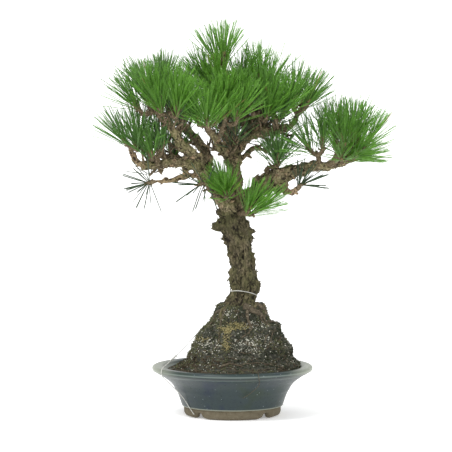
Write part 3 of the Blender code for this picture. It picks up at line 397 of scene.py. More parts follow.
# Burls: middle and radius, at the elbow of the long bough, its hook, the left elbow and the forks.
BURLS = [((0.060, -0.008, 0.428), 0.0125), ((0.074, -0.014, 0.436), 0.0130),
         ((0.086, -0.010, 0.452), 0.0120), ((0.092, -0.012, 0.437), 0.0130),
         ((0.084, -0.018, 0.423), 0.0100), ((0.099, -0.014, 0.420), 0.0080),
         ((0.109, -0.024, 0.417), 0.0070), ((0.118, -0.030, 0.424), 0.0060),
         ((0.104, -0.010, 0.448), 0.0110), ((0.128, -0.014, 0.455), 0.0100),
         ((0.150, -0.004, 0.468), 0.0092), ((0.176, -0.014, 0.464), 0.0088),
         ((0.200, -0.008, 0.475), 0.0085), ((-0.050, -0.028, 0.448), 0.0125),
         ((-0.066, -0.020, 0.474), 0.0120), ((-0.086, -0.026, 0.466), 0.0098),
         ((-0.112, -0.032, 0.480), 0.0085), ((-0.084, -0.040, 0.500), 0.0098),
         ((0.002, -0.004, 0.474), 0.0125), ((0.012, 0.004, 0.500), 0.0105),
         ((-0.014, -0.014, 0.396), 0.0115), ((0.064, -0.002, 0.530), 0.0098),
         ((0.090, -0.012, 0.534), 0.0090), ((-0.088, -0.028, 0.446), 0.0066),
         ((-0.104, -0.036, 0.440), 0.0060), ((-0.122, -0.046, 0.443), 0.0052),
         ((0.034, -0.024, 0.205), 0.0120), ((0.046, -0.026, 0.197), 0.0095),
         ((0.057, -0.012, 0.202), 0.0070), ((-0.018, -0.002, 0.362), 0.0100),
         ((-0.029, -0.004, 0.352), 0.0082)]

# Dressing of the root ball. Ways over its front are given as X and height.
MOSS_TUFTS = 3700
MOSS_BLADES = 5
MOSS_LENGTH = 0.0042
MOSS_RADIUS = 0.00075
GRIT_STONES = 900
GRIT_CLUSTERS = [((0.018, 0.060), (0.166, 0.180), 75), ((-0.074, -0.020), (0.120, 0.150), 90),
                 ((-0.008, 0.072), (0.122, 0.158), 170), ((-0.036, 0.004), (0.180, 0.206), 55)]
STRAW_PATCHES = [((-0.024, 0.002), (0.160, 0.170), 90), ((-0.010, 0.032), (0.166, 0.176), 190),
                 ((-0.020, -0.002), (0.130, 0.163), 85), ((-0.070, -0.038), (0.140, 0.148), 40)]
STRAW_LENGTH = (0.003, 0.008)
STRAW_RADIUS = 0.00055
FRONT_ROOTS = [([(0.022, 0.206), (0.038, 0.198), (0.050, 0.192), (0.060, 0.184)], 0.0074, 0.0040),
               ([(0.044, 0.208), (0.055, 0.202), (0.060, 0.196), (0.062, 0.190)], 0.0056, 0.0034),
               ([(-0.020, 0.100), (-0.004, 0.105), (0.008, 0.104), (0.018, 0.101)], 0.0024, 0.0014),
               ([(0.012, 0.102), (0.043, 0.107), (0.065, 0.104), (0.090, 0.097)], 0.0015, 0.0010),
               ([(0.062, 0.176), (0.076, 0.172), (0.088, 0.166), (0.094, 0.156)], 0.0046, 0.0020),
               ([(-0.014, 0.200), (-0.032, 0.188), (-0.046, 0.172), (-0.056, 0.150)], 0.0034, 0.0014)]
# Lumps and hollows of the root ball: middle, reach and rise.
LUMPS = [((0.078, -0.040, 0.171), 0.011, 0.0085), ((0.090, -0.052, 0.160), 0.010, 0.0060),
         ((0.074, -0.078, 0.122), 0.015, -0.0090), ((0.096, -0.052, 0.118), 0.012, -0.0060),
         ((-0.034, -0.046, 0.178), 0.010, 0.0060), ((-0.058, -0.046, 0.154), 0.011, 0.0060),
         ((-0.046, -0.064, 0.140), 0.009, -0.0045), ((-0.026, -0.072, 0.152), 0.008, 0.0045),
         ((0.020, -0.078, 0.140), 0.012, 0.0050), ((0.050, -0.074, 0.150), 0.010, 0.0045),
         ((0.004, -0.066, 0.162), 0.010, 0.0040), ((-0.078, -0.040, 0.126), 0.012, 0.0060),
         ((0.104, -0.018, 0.128), 0.010, 0.0060), ((0.036, -0.062, 0.176), 0.010, -0.0040),
         ((-0.070, 0.030, 0.150), 0.014, 0.0070), ((0.030, 0.078, 0.150), 0.014, 0.0080),
         ((0.080, 0.050, 0.140), 0.012, -0.0060), ((-0.020, 0.074, 0.140), 0.012, 0.0060)]
ROOT_COUNT = 9
ROOT_RADIUS = (0.0018, 0.0042)
ROOT_END_RADIUS = (0.0007, 0.0014)
FINE_ROOTS = 380
FINE_ROOT_RADII = (0.0008, 0.0004)
# How far thick and thin roots stand out of the soil, as a share of their radius.
THICK_ROOT = 0.0026
SUNK_LIFT = 0.05
THIN_LIFT = 0.8
LITTER_BITS = 620
LITTER_LENGTH = (0.005, 0.016)
LITTER_RADIUS = (0.0005, 0.0012)
ROOTLET = [(0.040, -0.118, 0.094), (0.046, -0.136, 0.095), (0.048, -0.146, 0.088), (0.049, -0.134, 0.078),
           (0.048, -0.122, 0.070), (0.040, -0.112, 0.060), (0.028, -0.108, 0.050), (0.018, -0.104, 0.044)]
ROOTLET_RADIUS = 0.0006

# Tie wire, as in the solids, but drawn a little stouter.
WIRE_RADIUS = 0.0008
WIRE_LOOP_CENTRE = (0.021, 0.000)
WIRE_LOOP_RADIUS = 0.0256
WIRE_LOOP_HEIGHT = 0.2262
WIRE_LOOP_TILT = 0.0085
WIRE_LOOP_LOW_SIDE = math.radians(62.0)
WIRE_LOOP_STEPS = 20
WIRE_LOOP_START = math.radians(150.0)
WIRE_LOOP_SWEEP = math.radians(335.0)
WIRE_TAIL = [(-0.008, 0.030, 0.205), (-0.028, 0.038, 0.180), (-0.048, 0.022, 0.164), (-0.063, 0.000, 0.155),
             (-0.078, -0.020, 0.141), (-0.091, -0.034, 0.128), (-0.105, -0.048, 0.115), (-0.121, -0.063, 0.102),
             (-0.130, -0.074, 0.095), (-0.131, -0.078, 0.083), (-0.120, -0.071, 0.071), (-0.106, -0.062, 0.056),
             (-0.093, -0.055, 0.041), (-0.084, -0.052, 0.027), (-0.077, -0.054, 0.016), (-0.071, -0.058, 0.008)]
WIRE_STEP = 0.0030
WIRE_GAP = 0.0001
WIRE_REACH = 0.006
TWIST_PLACE = (-0.108, -0.051, 0.113)
TWIST_LENGTH = 0.017
TWIST_RADIUS = 0.0021
TWIST_TURNS = 4.5
EYE_RADIUS = 0.0040


# Lines and tubes

def unit(vector):
    return vector / np.linalg.norm(vector)


def smooth_line(points, count):
    """Points at even steps along a smooth curve through the given ones; each point may carry a radius."""
    knots = np.array(points, dtype=float)
    padded = np.vstack([2 * knots[0] - knots[1], knots, 2 * knots[-1] - knots[-2]])
    fine = []
    steps = 16
    for i in range(len(knots) - 1):
        a, b, c, d = padded[i:i + 4]
        for step in range(steps):
            t = step / steps
            fine.append(0.5 * (2 * b + (c - a) * t + (2 * a - 5 * b + 4 * c - d) * t ** 2
                               + (3 * b - a - 3 * c + d) * t ** 3))
    fine.append(knots[-1])
    fine = np.array(fine)
    travelled = np.concatenate([[0.0], np.cumsum(np.linalg.norm(np.diff(fine[:, :3], axis=0), axis=1))])
    wanted = np.linspace(0.0, travelled[-1], count)
    return np.column_stack([np.interp(wanted, travelled, fine[:, axis]) for axis in range(fine.shape[1])])


def line_length(points):
    return float(np.linalg.norm(np.diff(points[:, :3], axis=0), axis=1).sum())


def frames_along(path, level_start=False):
    """Tangents and two cross directions at each point, turning as little as the path allows."""
    tangents = np.gradient(path, axis=0)
    tangents /= np.linalg.norm(tangents, axis=1)[:, None]
    if level_start:
        tangents[0] = UP
    side = np.array([1.0, 0.0, 0.0])
    if abs(side @ tangents[0]) > 0.9:
        side = np.array([0.0, 1.0, 0.0])
    across = []
    for tangent in tangents:
        side = unit(side - tangent * (side @ tangent))
        across.append(side)
    across = np.array(across)
    return tangents, across, np.cross(tangents, across)


def tube(path, reach, level_start=False, dome=0.35):
    """Points and triangles of a closed tube; reach holds the radius of each ring or of each point."""
    path = np.asarray(path, dtype=float)
    rings, sides = reach.shape
    tangents, across, up = frames_along(path, level_start)
    angle = 2 * np.pi * np.arange(sides) / sides
    around = across[:, None] * np.cos(angle)[None, :, None] + up[:, None] * np.sin(angle)[None, :, None]
    points = (path[:, None] + around * reach[:, :, None]).reshape(-1, 3)
    start = path[0] - tangents[0] * (0.0 if level_start else dome * reach[0].mean())
    end = path[-1] + tangents[-1] * dome * reach[-1].mean()
    points = np.vstack([points, start, end])
    side = np.arange(sides)
    after = (side + 1) % sides
    faces = []
    for ring in range(rings - 1):
        low = ring * sides
        high = low + sides
        faces.append(np.column_stack([low + side, low + after, high + after]))
        faces.append(np.column_stack([low + side, high + after, high + side]))
    first, last, top = len(points) - 2, len(points) - 1, (rings - 1) * sides
    faces.append(np.column_stack([np.full(sides, first), after, side]))
    faces.append(np.column_stack([np.full(sides, last), top + side, top + after]))
    return points, np.vstack(faces)


def blade_shapes(rows, radius, steps=BLADE_STEPS, tapers=BLADE_TAPER, closed=True):
    """Points and triangles of many needles or blades at once: three-sided, slightly bent and pointed."""
    root, way, bend, length = rows[:, :3], rows[:, 3:6], rows[:, 6:9], rows[:, 9:10]
    across = np.cross(way, BLADE_SIDE)
    across /= np.linalg.norm(across, axis=1)[:, None]
    other = np.cross(way, across)
    rings = []
    for t, taper in zip(steps, tapers):
        middle = root + way * length * t + bend * t * t
        for turn in (0.0, 2 * math.pi / 3, 4 * math.pi / 3):
            rings.append(middle + (across * math.cos(turn) + other * math.sin(turn)) * radius * taper)
    rings.append(root + way * length + bend)
    points = np.stack(rings, axis=1)
    tip = len(rings) - 1
    faces = [(0, 2, 1)] if closed else []
    for low in range(0, tip - 3, 3):
        for side in range(3):
            after = (side + 1) % 3
            faces.append((low + side, low + after, low + 3 + after))
            faces.append((low + side, low + 3 + after, low + 3 + side))
    faces += [(tip - 3, tip - 2, tip), (tip - 2, tip - 1, tip), (tip - 1, tip - 3, tip)]
    faces = np.array(faces)[None] + (np.arange(len(rows)) * len(rings))[:, None, None]
    return points.reshape(-1, 3), faces.reshape(-1, 3)


def any_turn(rng):
    return rng.uniform(0, 2 * math.pi)


def scatter(rng, size):
    """A random shift to all sides."""
    return np.array([rng.gauss(0, size) for _ in range(3)])


def between(path, place):
    """The ring below a place along a path, counted in rings, and the point there."""
    low = min(int(place), len(path) - 2)
    return low, path[low] + (path[low + 1] - path[low]) * (place - low)


def search_tree(points):
    """A tree that finds the nearest of the points."""
    tree = KDTree(len(points))
    for index, point in enumerate(points):
        tree.insert(point, index)
    tree.balance()
    return tree


class Pile:
    """Points, triangles and shades of many small parts that end as one mesh."""

    def __init__(self):
        self.points, self.faces, self.shades = [], [], []
        self.count = 0

    def add(self, points, faces, shade=0):
        self.points.append(points)
        self.faces.append(faces + self.count)
        self.shades.append(np.full(len(faces), shade))
        self.count += len(points)

    def mesh(self, name):
        made = bpy.data.meshes.new(name)
        points, faces = np.vstack(self.points), np.vstack(self.faces)
        made.from_pydata((points + POT_AXIS).tolist(), [], faces.tolist())
        made.polygons.foreach_set("material_index", np.concatenate(self.shades).astype(np.int32))
        made.update()
        return made


def piece(name, mesh, materials, nodes=(), smooth=True):
    """Puts a mesh in the scene as a piece of the object, in the place of the named nodes."""
    obj = bpy.data.objects.new(name, mesh)
    bpy.context.scene.collection.objects.link(obj)
    for material in materials:
        mesh.materials.append(material)
    if smooth:
        mesh.shade_smooth()
    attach(obj, "root")
    if nodes:
        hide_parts(*nodes)
    return obj


# Repeatable noise

def hashed(cells, salt):
    """A repeatable random number from 0 to 1 for each whole-numbered cell."""
    cells = cells.astype(np.int64)
    mixed = cells[..., 0] * 73856093 ^ cells[..., 1] * 19349663 ^ cells[..., 2] * 83492791
    mixed = mixed ^ (salt * 26544357 + 12345)
    mixed = (mixed ^ (mixed >> 13)) * 1274126177 & 0xFFFFFFFF
    mixed = (mixed ^ (mixed >> 16)) * 668265263 & 0xFFFFFFFF
    return ((mixed ^ (mixed >> 15)) & 0xFFFFFF) / 0xFFFFFF


def soft_noise(points, salt=0):
    """Smooth value noise from -1 to 1."""
    base = np.floor(points)
    t = points - base
    t = t * t * (3 - 2 * t)
    total = np.zeros(len(points))
    for corner in itertools.product((0, 1), repeat=3):
        weight = np.prod([t[:, i] if corner[i] else 1 - t[:, i] for i in range(3)], axis=0)
        total += weight * hashed(base + corner, salt)
    return total * 2 - 1


def rough_noise(points, octaves=3, salt=0):
    total, size, reach = 0.0, 1.0, 0.0
    for octave in range(octaves):
        total = total + soft_noise(points * 2.03 ** octave, salt + octave) * size
        reach += size
        size *= 0.55
    return total / reach


def cells(points, salt=0):
    """The nearest of seeds strewn one to a cell: distance, distance to the border, way to it, a number."""
    base = np.floor(points)
    count = len(points)
    nearest, second, chance = np.full(count, 9.0), np.full(count, 9.0), np.zeros(count)
    way = np.zeros((count, 3))
    for step in itertools.product((-1, 0, 1), repeat=3):
        cell = base + step
        seed = cell + np.column_stack([hashed(cell, salt + 7 + axis) for axis in range(3)])
        away = points - seed
        distance = np.linalg.norm(away, axis=1)
        closer = distance < nearest
        second = np.where(closer, nearest, np.minimum(second, distance))
        nearest = np.where(closer, distance, nearest)
        way = np.where(closer[:, None], away, way)
        chance = np.where(closer, hashed(cell, salt + 31), chance)
    return nearest, second - nearest, way, chance


# Trunk and boughs

def waves(rng, count):
    """A smooth seeded wave of the distance along a limb, between about -1 and 1."""
    terms = [(rng.uniform(0.7, 1.5) * (1 + i), any_turn(rng), 1.0 / (1 + i)) for i in range(count)]
    total = sum(term[2] for term in terms)
    return lambda s: sum(size * math.sin(rate * s + phase) for rate, phase, size in terms) / total


def limb_line(name, way, start_radius, tip_radius):
    """Centreline and radius of a limb: a smooth way, a small wander and knuckles where shoots once grew."""
    rng = random.Random(name)
    rough = smooth_line(way, 40)
    length = line_length(rough)
    count = max(5, round(length / RING_SPACING) + 1)
    path = smooth_line(way, count)
    _, across, up = frames_along(path)
    swing, lift, knuckle = waves(rng, 2), waves(rng, 2), waves(rng, 2)
    radii = []
    for ring in range(count):
        share = ring / (count - 1)
        along = share * length / KNUCKLE_LENGTH * 2 * math.pi
        radius = start_radius + (tip_radius - start_radius) * share ** 0.85
        radii.append(radius * (1 + KNUCKLE * knuckle(along)))
        held = math.sin(math.pi * share)
        path[ring] += across[ring] * swing(along * 0.7) * WANDER * radius * held
        path[ring] += up[ring] * lift(along * 0.7) * WANDER * radius * held
    return path, np.array(radii)


def limb_lump(name):
    rng = random.Random(name + " bark")
    phases = [any_turn(rng) for _ in range(4)]
    return lambda ring, angle: (1 + LUMP * 0.6 * np.sin(2 * angle + phases[0] + 0.8 * ring)
                                + LUMP * 0.4 * np.sin(3 * angle + phases[1] - 1.1 * ring))


def trunk_line():
    stations = smooth_line(TRUNK_STATIONS, TRUNK_RINGS)
    return stations[:, :3], stations[:, 3]


def trunk_lump(ring, angle):
    """Root lobes at the foot that fade upwards, and the furrowed bark's lumps above them."""
    fade = np.maximum(0.0, 1 - ring / 6)
    lobes = ROOT_FLARE_LOBE * fade * np.sin(ROOT_FLARE_LOBES * angle + 0.6)
    bark = LUMP * 0.7 * (1 - fade) * np.sin(3 * angle + 0.9 * ring + 1.5 * np.sin(0.7 * ring))
    return 1 + lobes + bark


def plain_lump(ring, angle):
    return 1 + 0.04 * np.sin(2 * angle + ring)


def bark_relief(around, plate_size, salt):
    """Height of the bark above its middle, how open each point is from 0 in a furrow, its plate's number."""
    lengthened = around / np.array([plate_size, plate_size, plate_size * PLATE_STRETCH])
    warp = np.column_stack([rough_noise(lengthened * 1.6, 3, salt + axis) for axis in (50, 60, 70)])
    places = lengthened + 0.55 * warp
    _, border, way, chance = cells(places, salt)
    furrow = np.exp(-(border / 0.16) ** 2)
    _, chip_border, chip_way, chip = cells(places * 2.4 + 3.1, salt + 90)
    chip_edge = np.exp(-(chip_border / 0.16) ** 2)
    plates = (chance - 0.45) * 1.3 + way[:, 2] * (chance - 0.3) * 1.5
    chips = (chip - 0.5) * 0.8 + chip_way[:, 2] * 0.5 - 0.3 * chip_edge
    strings = 0.5 - np.abs(rough_noise(around / np.array([0.0026, 0.0026, 0.020]), 3, salt + 120)) * 2.4
    grain = rough_noise(around / plate_size * np.array([6.0, 6.0, 2.0]), 3, salt + 5)
    knobs = rough_noise(around / 0.014, 2, salt + 40)
    height = plates * (1 - furrow) - furrow + chips * 0.7 + 0.45 * strings + 0.3 * grain + knobs * 1.2
    is_open = 0.60 - furrow * 0.55 - chip_edge * 0.15 + 0.12 * (plates + chips) + 0.45 * strings + 0.2 * grain
    return height, np.clip(is_open, 0, 1), chance


def barked_limb(path, radii, lump, plate_size, depth, salt, level_start=False, dome=0.35):
    """A limb's tube at the bark's resolution, with openness, plate number and girth at each of its points."""
    length = line_length(path)
    count = max(6, round(length / BARK_STEP))
    fine = smooth_line(np.column_stack([path, radii]), count)
    sides = max(14, round(2 * np.pi * radii.max() / BARK_STEP))
    ring = np.linspace(0, len(path) - 1, count)[:, None]
    angle = (2 * np.pi * np.arange(sides) / sides)[None, :]
    girth = fine[:, 3][:, None] * np.ones_like(angle)
    mean_girth = fine[:, 3].mean()
    around = np.column_stack([(mean_girth * np.cos(angle) * np.ones_like(ring)).ravel(),
                              (mean_girth * np.sin(angle) * np.ones_like(ring)).ravel(),
                              (ring / ring.max() * length * np.ones_like(angle)).ravel()])
    relief, is_open, plate = bark_relief(around, plate_size, salt)
    reach = girth * lump(ring, angle) + relief.reshape(count, sides) * depth(girth)
    points, faces = tube(fine[:, :3], reach, level_start, dome)
    marks = np.column_stack([is_open, plate, girth.ravel()])
    marks = np.vstack([marks, marks[:1], marks[-1:]])
    return points, faces, marks


def bough_depth(girth):
    return 0.0007 + 0.175 * girth


def trunk_depth(girth):
    return np.minimum(0.0044, 0.0003 + 0.175 * girth)


def burl_depth(girth):
    return 0.0010 + 0.170 * girth


def bough_spurs(name, path, radii):
    """Short dead spurs all round a bough, each as a line and its radii."""
    rng = random.Random(name + " spurs")
    tangents, across, up = frames_along(path)
    made = []
    for number in range(int(line_length(path) / BOUGH_SPUR_SPACING)):
        place = rng.uniform(0.06, 0.98) * (len(path) - 1)
        low = min(int(place), len(path) - 2)
        share = place - low
        middle = path[low] * (1 - share) + path[low + 1] * share
        radius = radii[low] * (1 - share) + radii[low + 1] * share
        turn = GOLDEN_ANGLE * number + rng.uniform(-0.4, 0.4)
        around = across[low] * math.cos(turn) + up[low] * math.sin(turn)
        out = unit(around + tangents[low] * rng.uniform(-0.2, 0.9))
        tip = middle + out * (radius + rng.uniform(*BOUGH_SPUR_LENGTH))
        thick = rng.uniform(*BOUGH_SPUR_RADIUS)
        line = smooth_line([middle + out * radius * 0.4, tip + UP * rng.uniform(-0.001, 0.002)], 3)
        made.append((line, thick * np.array([1.3, 1.0, 0.75])))
    return made


def make_flakes(mesh, samples, tree):
    """Loose scales of bark, each a small curled plate that stands off the limb at one end."""
    rng = random.Random("flakes")
    girths = np.zeros(len(mesh.vertices), dtype=np.float32)
    mesh.attributes["girth"].data.foreach_get("value", girths)
    thick = np.flatnonzero(girths > FLAKED_GIRTH)
    pile, marks = Pile(), []
    while len(marks) < FLAKE_COUNT:
        index = int(thick[rng.randrange(len(thick))])
        vert = mesh.vertices[index]
        place, normal = np.array(vert.co) - POT_AXIS, np.array(vert.normal)
        _, nearest, _ = tree.find(place)
        tangent = samples[min(nearest + 1, len(samples) - 1), :3] - samples[nearest, :3]
        if place[2] < LOWEST_FLAKE or not 1e-6 < np.linalg.norm(tangent) < 0.01:
            continue
        along = unit(tangent - normal * (tangent @ normal) + 1e-5)
        along = unit(along + np.cross(normal, along) * rng.gauss(0, 0.35)) * rng.choice((-1, 1))
        aside = unit(np.cross(normal, along))
        tilt = rng.uniform(*FLAKE_TILT)
        size = min(1.0, 0.35 + float(girths[index]) / 0.026)
        length, width = rng.uniform(*FLAKE_LENGTH) * size, rng.uniform(*FLAKE_WIDTH) * size
        lifted = along * math.cos(tilt) + normal * math.sin(tilt)
        out = unit(np.cross(lifted, aside)) * (1 if np.cross(lifted, aside) @ normal > 0 else -1)
        lower = [place - normal * 0.0006 + lifted * length * (u + rng.uniform(-0.08, 0.08)) + aside * width * v
                 - out * abs(v) * width * 0.35 for u, v in FLAKE_OUTLINE]
        upper = [point + out * FLAKE_THICKNESS * rng.uniform(0.7, 1.3) for point in lower]
        count = len(FLAKE_OUTLINE)
        faces = [(0, i + 1, i) for i in range(1, count - 1)]
        faces += [(count, count + i, count + i + 1) for i in range(1, count - 1)]
        for i in range(count):
            after = (i + 1) % count
            faces += [(i, after, count + after), (i, count + after, count + i)]
        pile.add(np.array(lower + upper), np.array(faces))
        marks.append((rng.uniform(0.55, 1.0), rng.random(), float(girths[index])))
    made = pile.mesh("flakes")
    turn_outwards(made)
    write_marks(made, np.repeat(np.array(marks), 2 * len(FLAKE_OUTLINE), axis=0))
    return made


def write_marks(mesh, marks):
    """Keeps how open each point of the bark is, its plate's number and its limb's girth on the mesh."""
    for name, values in zip(MARKS, marks.T):
        mesh.attributes.new(name, "FLOAT", "POINT").data.foreach_set("value", values.astype(np.float32))


def turn_outwards(mesh):
    bm = bmesh.new()
    bm.from_mesh(mesh)
    bmesh.ops.recalc_face_normals(bm, faces=bm.faces)
    bm.to_mesh(mesh)
    bm.free()


def make_tree_mesh(lines):
    """Trunk, stubs and boughs fused into one skin, with the bark's relief on it."""
    parts = [barked_limb(*lines["trunk"], trunk_lump, TRUNK_PLATE, trunk_depth, 3, level_start=True)]
    for number, (start, end, first, last) in enumerate(STUBS):
        path, radii = smooth_line([start, end], 4), np.linspace(first, last, 4)
        points, faces, marks = barked_limb(path, radii, plain_lump, STUB_PLATE, bough_depth, 11 + number)
        marks[:, 2] = STUB_GIRTH
        parts.append((points, faces, marks))
    for number, (name, _, _, _) in enumerate(LIMBS):
        path, radii = lines[name]
        plate_size = 0.0040 + 0.30 * radii.mean()
        parts.append(barked_limb(path, radii, limb_lump(name), plate_size, bough_depth, 100 + 10 * number))
        for spur, spur_radii in bough_spurs(name, path, radii):
            parts.append(barked_limb(spur, spur_radii, plain_lump, SPUR_PLATE, bough_depth, len(parts)))
    for middle, radius in BURLS:
        rng = random.Random(f"burl {middle}")
        half = unit(scatter(rng, 1)) * radius * 0.85
        path = smooth_line([np.array(middle) - half, middle, np.array(middle) + half], 5)
        radii = radius * np.array([0.45, 0.90, 1.0, 0.90, 0.45])
        points, faces, marks = barked_limb(path, radii, plain_lump, BURL_PLATE, burl_depth, len(parts))
        if middle[2] < TRUNK_STATIONS[14][2]:
            marks[:, 2] = STUB_GIRTH
        parts.append((points, faces, marks))
    pile = Pile()
    for points, faces, _ in parts:
        pile.add(points, faces)
    marks = np.vstack([marks for _, _, marks in parts])
    places = np.vstack(pile.points) + POT_AXIS
    rough = bpy.data.objects.new("rough_tree", pile.mesh("rough_tree"))
    bpy.context.scene.collection.objects.link(rough)
    fuse = rough.modifiers.new("fuse", "REMESH")
    fuse.mode = "VOXEL"
    fuse.voxel_size = BARK_VOXEL
    depsgraph = bpy.context.evaluated_depsgraph_get()
    mesh = bpy.data.meshes.new_from_object(rough.evaluated_get(depsgraph), depsgraph=depsgraph)
    bpy.data.objects.remove(rough)
    tree = search_tree(places)
    write_marks(mesh, marks[[tree.find(vert.co)[1] for vert in mesh.vertices]])
    return mesh


# Twigs, by the rule of the solids

class Neighbours:
    """Straight stretches of limbs and twigs, which a new twig has to keep clear of."""

    def __init__(self):
        self.starts, self.ends = np.empty((0, 3)), np.empty((0, 3))
        self.radii, self.owners = np.empty(0), np.empty(0, dtype=object)

    def add(self, path, radii, owner):
        path, radii = np.asarray(path), np.asarray(radii)
        self.starts = np.vstack([self.starts, path[:-1]])
        self.ends = np.vstack([self.ends, path[1:]])
        self.radii = np.concatenate([self.radii, np.maximum(radii[:-1], radii[1:])])
        self.owners = np.concatenate([self.owners, np.full(len(path) - 1, owner, dtype=object)])


def steer_clear(path, radius, neighbours, skip, held=1):
    """Moves the free points of a twig out of the limbs and twigs that it would touch."""
    use = np.array([owner not in skip for owner in neighbours.owners], dtype=bool)
    starts, ends, radii = neighbours.starts[use], neighbours.ends[use], neighbours.radii[use]
    ways = ends - starts
    for _ in range(8):
        moved = False
        for i in range(held, len(path)):
            point = path[i]
            along = np.einsum("ij,ij->i", point - starts, ways) / np.einsum("ij,ij->i", ways, ways)
            share = np.clip(along, 0, 1)
            away = point - (starts + ways * share[:, None])
            distance = np.linalg.norm(away, axis=1)
            short = radii + radius + TWIG_CLEARANCE - distance
            worst = int(np.argmax(short))
            if short[worst] > 0:
                path[i] = point + away[worst] / max(distance[worst], 1e-6) * (short[worst] + 0.0004)
                moved = True
        if not moved:
            break
    return path


def along_limb(lines, limb, share):
    path, _ = lines[limb]
    low, point = between(path, share * (len(path) - 1))
    return point, unit(path[low + 1] - path[low])


def grow_twigs(lines, neighbours, name, limb, share, centre, aim, shoots, spread):
    """The stem and shoots of one mass: paths with radii, the stem first."""
    rng = random.Random(name + " twigs")
    base, tangent = along_limb(lines, limb, share)
    centre = np.array(centre)
    aim = unit(np.array(aim))
    way = centre - base
    reach = np.linalg.norm(way)
    hub = base + way * HUB + (tangent if share == 1.0 else unit(way)) * reach * 0.05
    bend = base + way * HUB * 0.5 + np.array([0.0, 0.0, -0.06]) * reach + tangent * reach * 0.08 * (share == 1.0)
    stem = smooth_line([base, bend, hub], 4)
    stem = steer_clear(stem, STEM_RADIUS, neighbours, (limb, name), held=2)
    twigs = [(stem, np.linspace(STEM_RADIUS, SHOOT_RADIUS, len(stem)))]
    neighbours.add(stem, twigs[0][1], name)
    across = unit(np.cross(aim, [0.0, 1.0, 0.0]))
    other = np.cross(aim, across)
    turn = any_turn(rng)
    for shoot in range(shoots):
        angle = turn + 2 * math.pi * shoot / shoots
        offset = (across * math.cos(angle) + other * math.sin(angle)) * spread
        tip = centre + offset + aim * rng.uniform(-0.006, 0.006)
        heading = unit(aim + offset / max(spread, 1e-6) * (SPLAY if shoots > 1 else 0.0))
        start = stem[-1] - unit(stem[-1] - stem[-2]) * SHOOT_RADIUS
        knee = tip - heading * min(CANDLE, 0.6 * np.linalg.norm(tip - start))
        line = smooth_line([start, knee, tip], 3)
        line = steer_clear(line, SHOOT_RADIUS, neighbours, (name,), held=1)
        twigs.append((line, np.linspace(SHOOT_RADIUS, BUD_RADIUS, len(line))))
        neighbours.add(line, twigs[-1][1], name)
    return twigs


def cross_directions(heading):
    across = unit(np.cross(heading, [0.35, 0.8, 0.2]))
    return across, np.cross(heading, across)


def side_shoots(rng, line):
    """Short shoots that leave the last stretch of a shoot and lean outwards, each as start and tip."""
    heading = unit(line[-1] - line[-2])
    across, other = cross_directions(heading)
    turn = any_turn(rng)
    made = []
    for number in range(SIDE_SHOOTS):
        angle = turn + 2 * math.pi * (number + rng.uniform(-0.15, 0.15)) / SIDE_SHOOTS
        lean = rng.uniform(*SIDE_LEAN)
        sideways = across * math.cos(angle) + other * math.sin(angle)
        start = line[-1] - heading * CANDLE * rng.uniform(0.35, 0.75)
        tip = start + unit(heading * math.cos(lean) + sideways * math.sin(lean)) * SIDE_SHOOT_LENGTH
        made.append(np.array([start, (start + tip) / 2 + sideways * 0.0012, tip]))
    return made


def spray(rng, line, pairs, leans, lengths, lowest):
    """Roots, directions, bends and lengths of one shoot's needles, which stand in pairs all round its end."""
    heading = unit(line[-1] - line[-2])
    across, other = cross_directions(heading)
    turn = any_turn(rng)
    stretch = min(CANDLE, line_length(line)) * 0.85
    rows = []
    for pair in range(pairs):
        share = (pair + 0.5) / pairs
        angle = turn + GOLDEN_ANGLE * pair + rng.uniform(-0.35, 0.35)
        lean = leans[0] + (leans[1] - leans[0]) * share ** 0.8 + rng.gauss(0, 0.06)
        sideways = across * math.cos(angle) + other * math.sin(angle)
        direction = heading * math.cos(lean) + sideways * math.sin(lean)
        if direction[2] < lowest:
            continue
        root = line[-1] - heading * stretch * min(1.0, share * rng.uniform(0.7, 1.2))
        root = root + sideways * SIDE_SHOOT_RADIUS * 0.6
        twist = rng.uniform(0, math.pi)
        apart = unit(np.cross(direction, heading * math.cos(twist) + sideways * math.sin(twist) + 1e-4))
        bend = (sideways * rng.uniform(-0.2, 0.8) + UP * rng.uniform(-0.4, 0.3)) * NEEDLE_BEND
        length = rng.uniform(*lengths)
        dry = rng.random() < DRY_CHANCE
        for way in (-1, 1):
            parted = unit(direction + apart * way * math.tan(PAIR_ANGLE * rng.uniform(0.3, 1.7)))
            rows.append(np.concatenate([root, parted, bend, [length * rng.uniform(0.94, 1.0), dry]]))
    return np.array(rows).reshape(-1, 11)


def rough_twig(line, radii, number):
    """A twig's tube with the scars of shed needles as small rings and lumps."""
    count = max(4, round(line_length(line) / TWIG_STEP))
    fine = smooth_line(np.column_stack([line, radii]), count)
    sides = np.arange(TWIG_SIDES)
    spots = np.stack(np.meshgrid(np.arange(count) * 0.55, sides * 0.9, [number * 3.7], indexing="ij"), axis=-1)
    lumps = soft_noise(spots.reshape(-1, 3), 300).reshape(count, TWIG_SIDES)
    scars = np.abs(np.sin(np.arange(count) * 0.95 + number))[:, None]
    reach = fine[:, 3:4] * TWIG_FATNESS * (0.92 + TWIG_ROUGHNESS * lumps + 0.16 * scars)
    return tube(fine[:, :3], reach)


def spurs(rng, line, radii):
    """Short dead spurs and scars on a stem, each as a line and its radii."""
    heading = unit(line[-1] - line[0])
    across, other = cross_directions(heading)
    made = []
    for number in range(int(line_length(line) / SPUR_SPACING)):
        low, middle = between(line, rng.uniform(0.05, 0.85) * (len(line) - 1))
        turn = GOLDEN_ANGLE * number + rng.uniform(-0.5, 0.5)
        out = unit(across * math.cos(turn) + other * math.sin(turn) + heading * rng.uniform(0.1, 1.1))
        tip = middle + out * (radii[low] + rng.uniform(*SPUR_LENGTH))
        thick = rng.uniform(*SPUR_RADIUS)
        made.append((np.array([middle, (middle + tip) / 2, tip]), thick * np.array([1.2, 1.0, 0.8])))
    return made


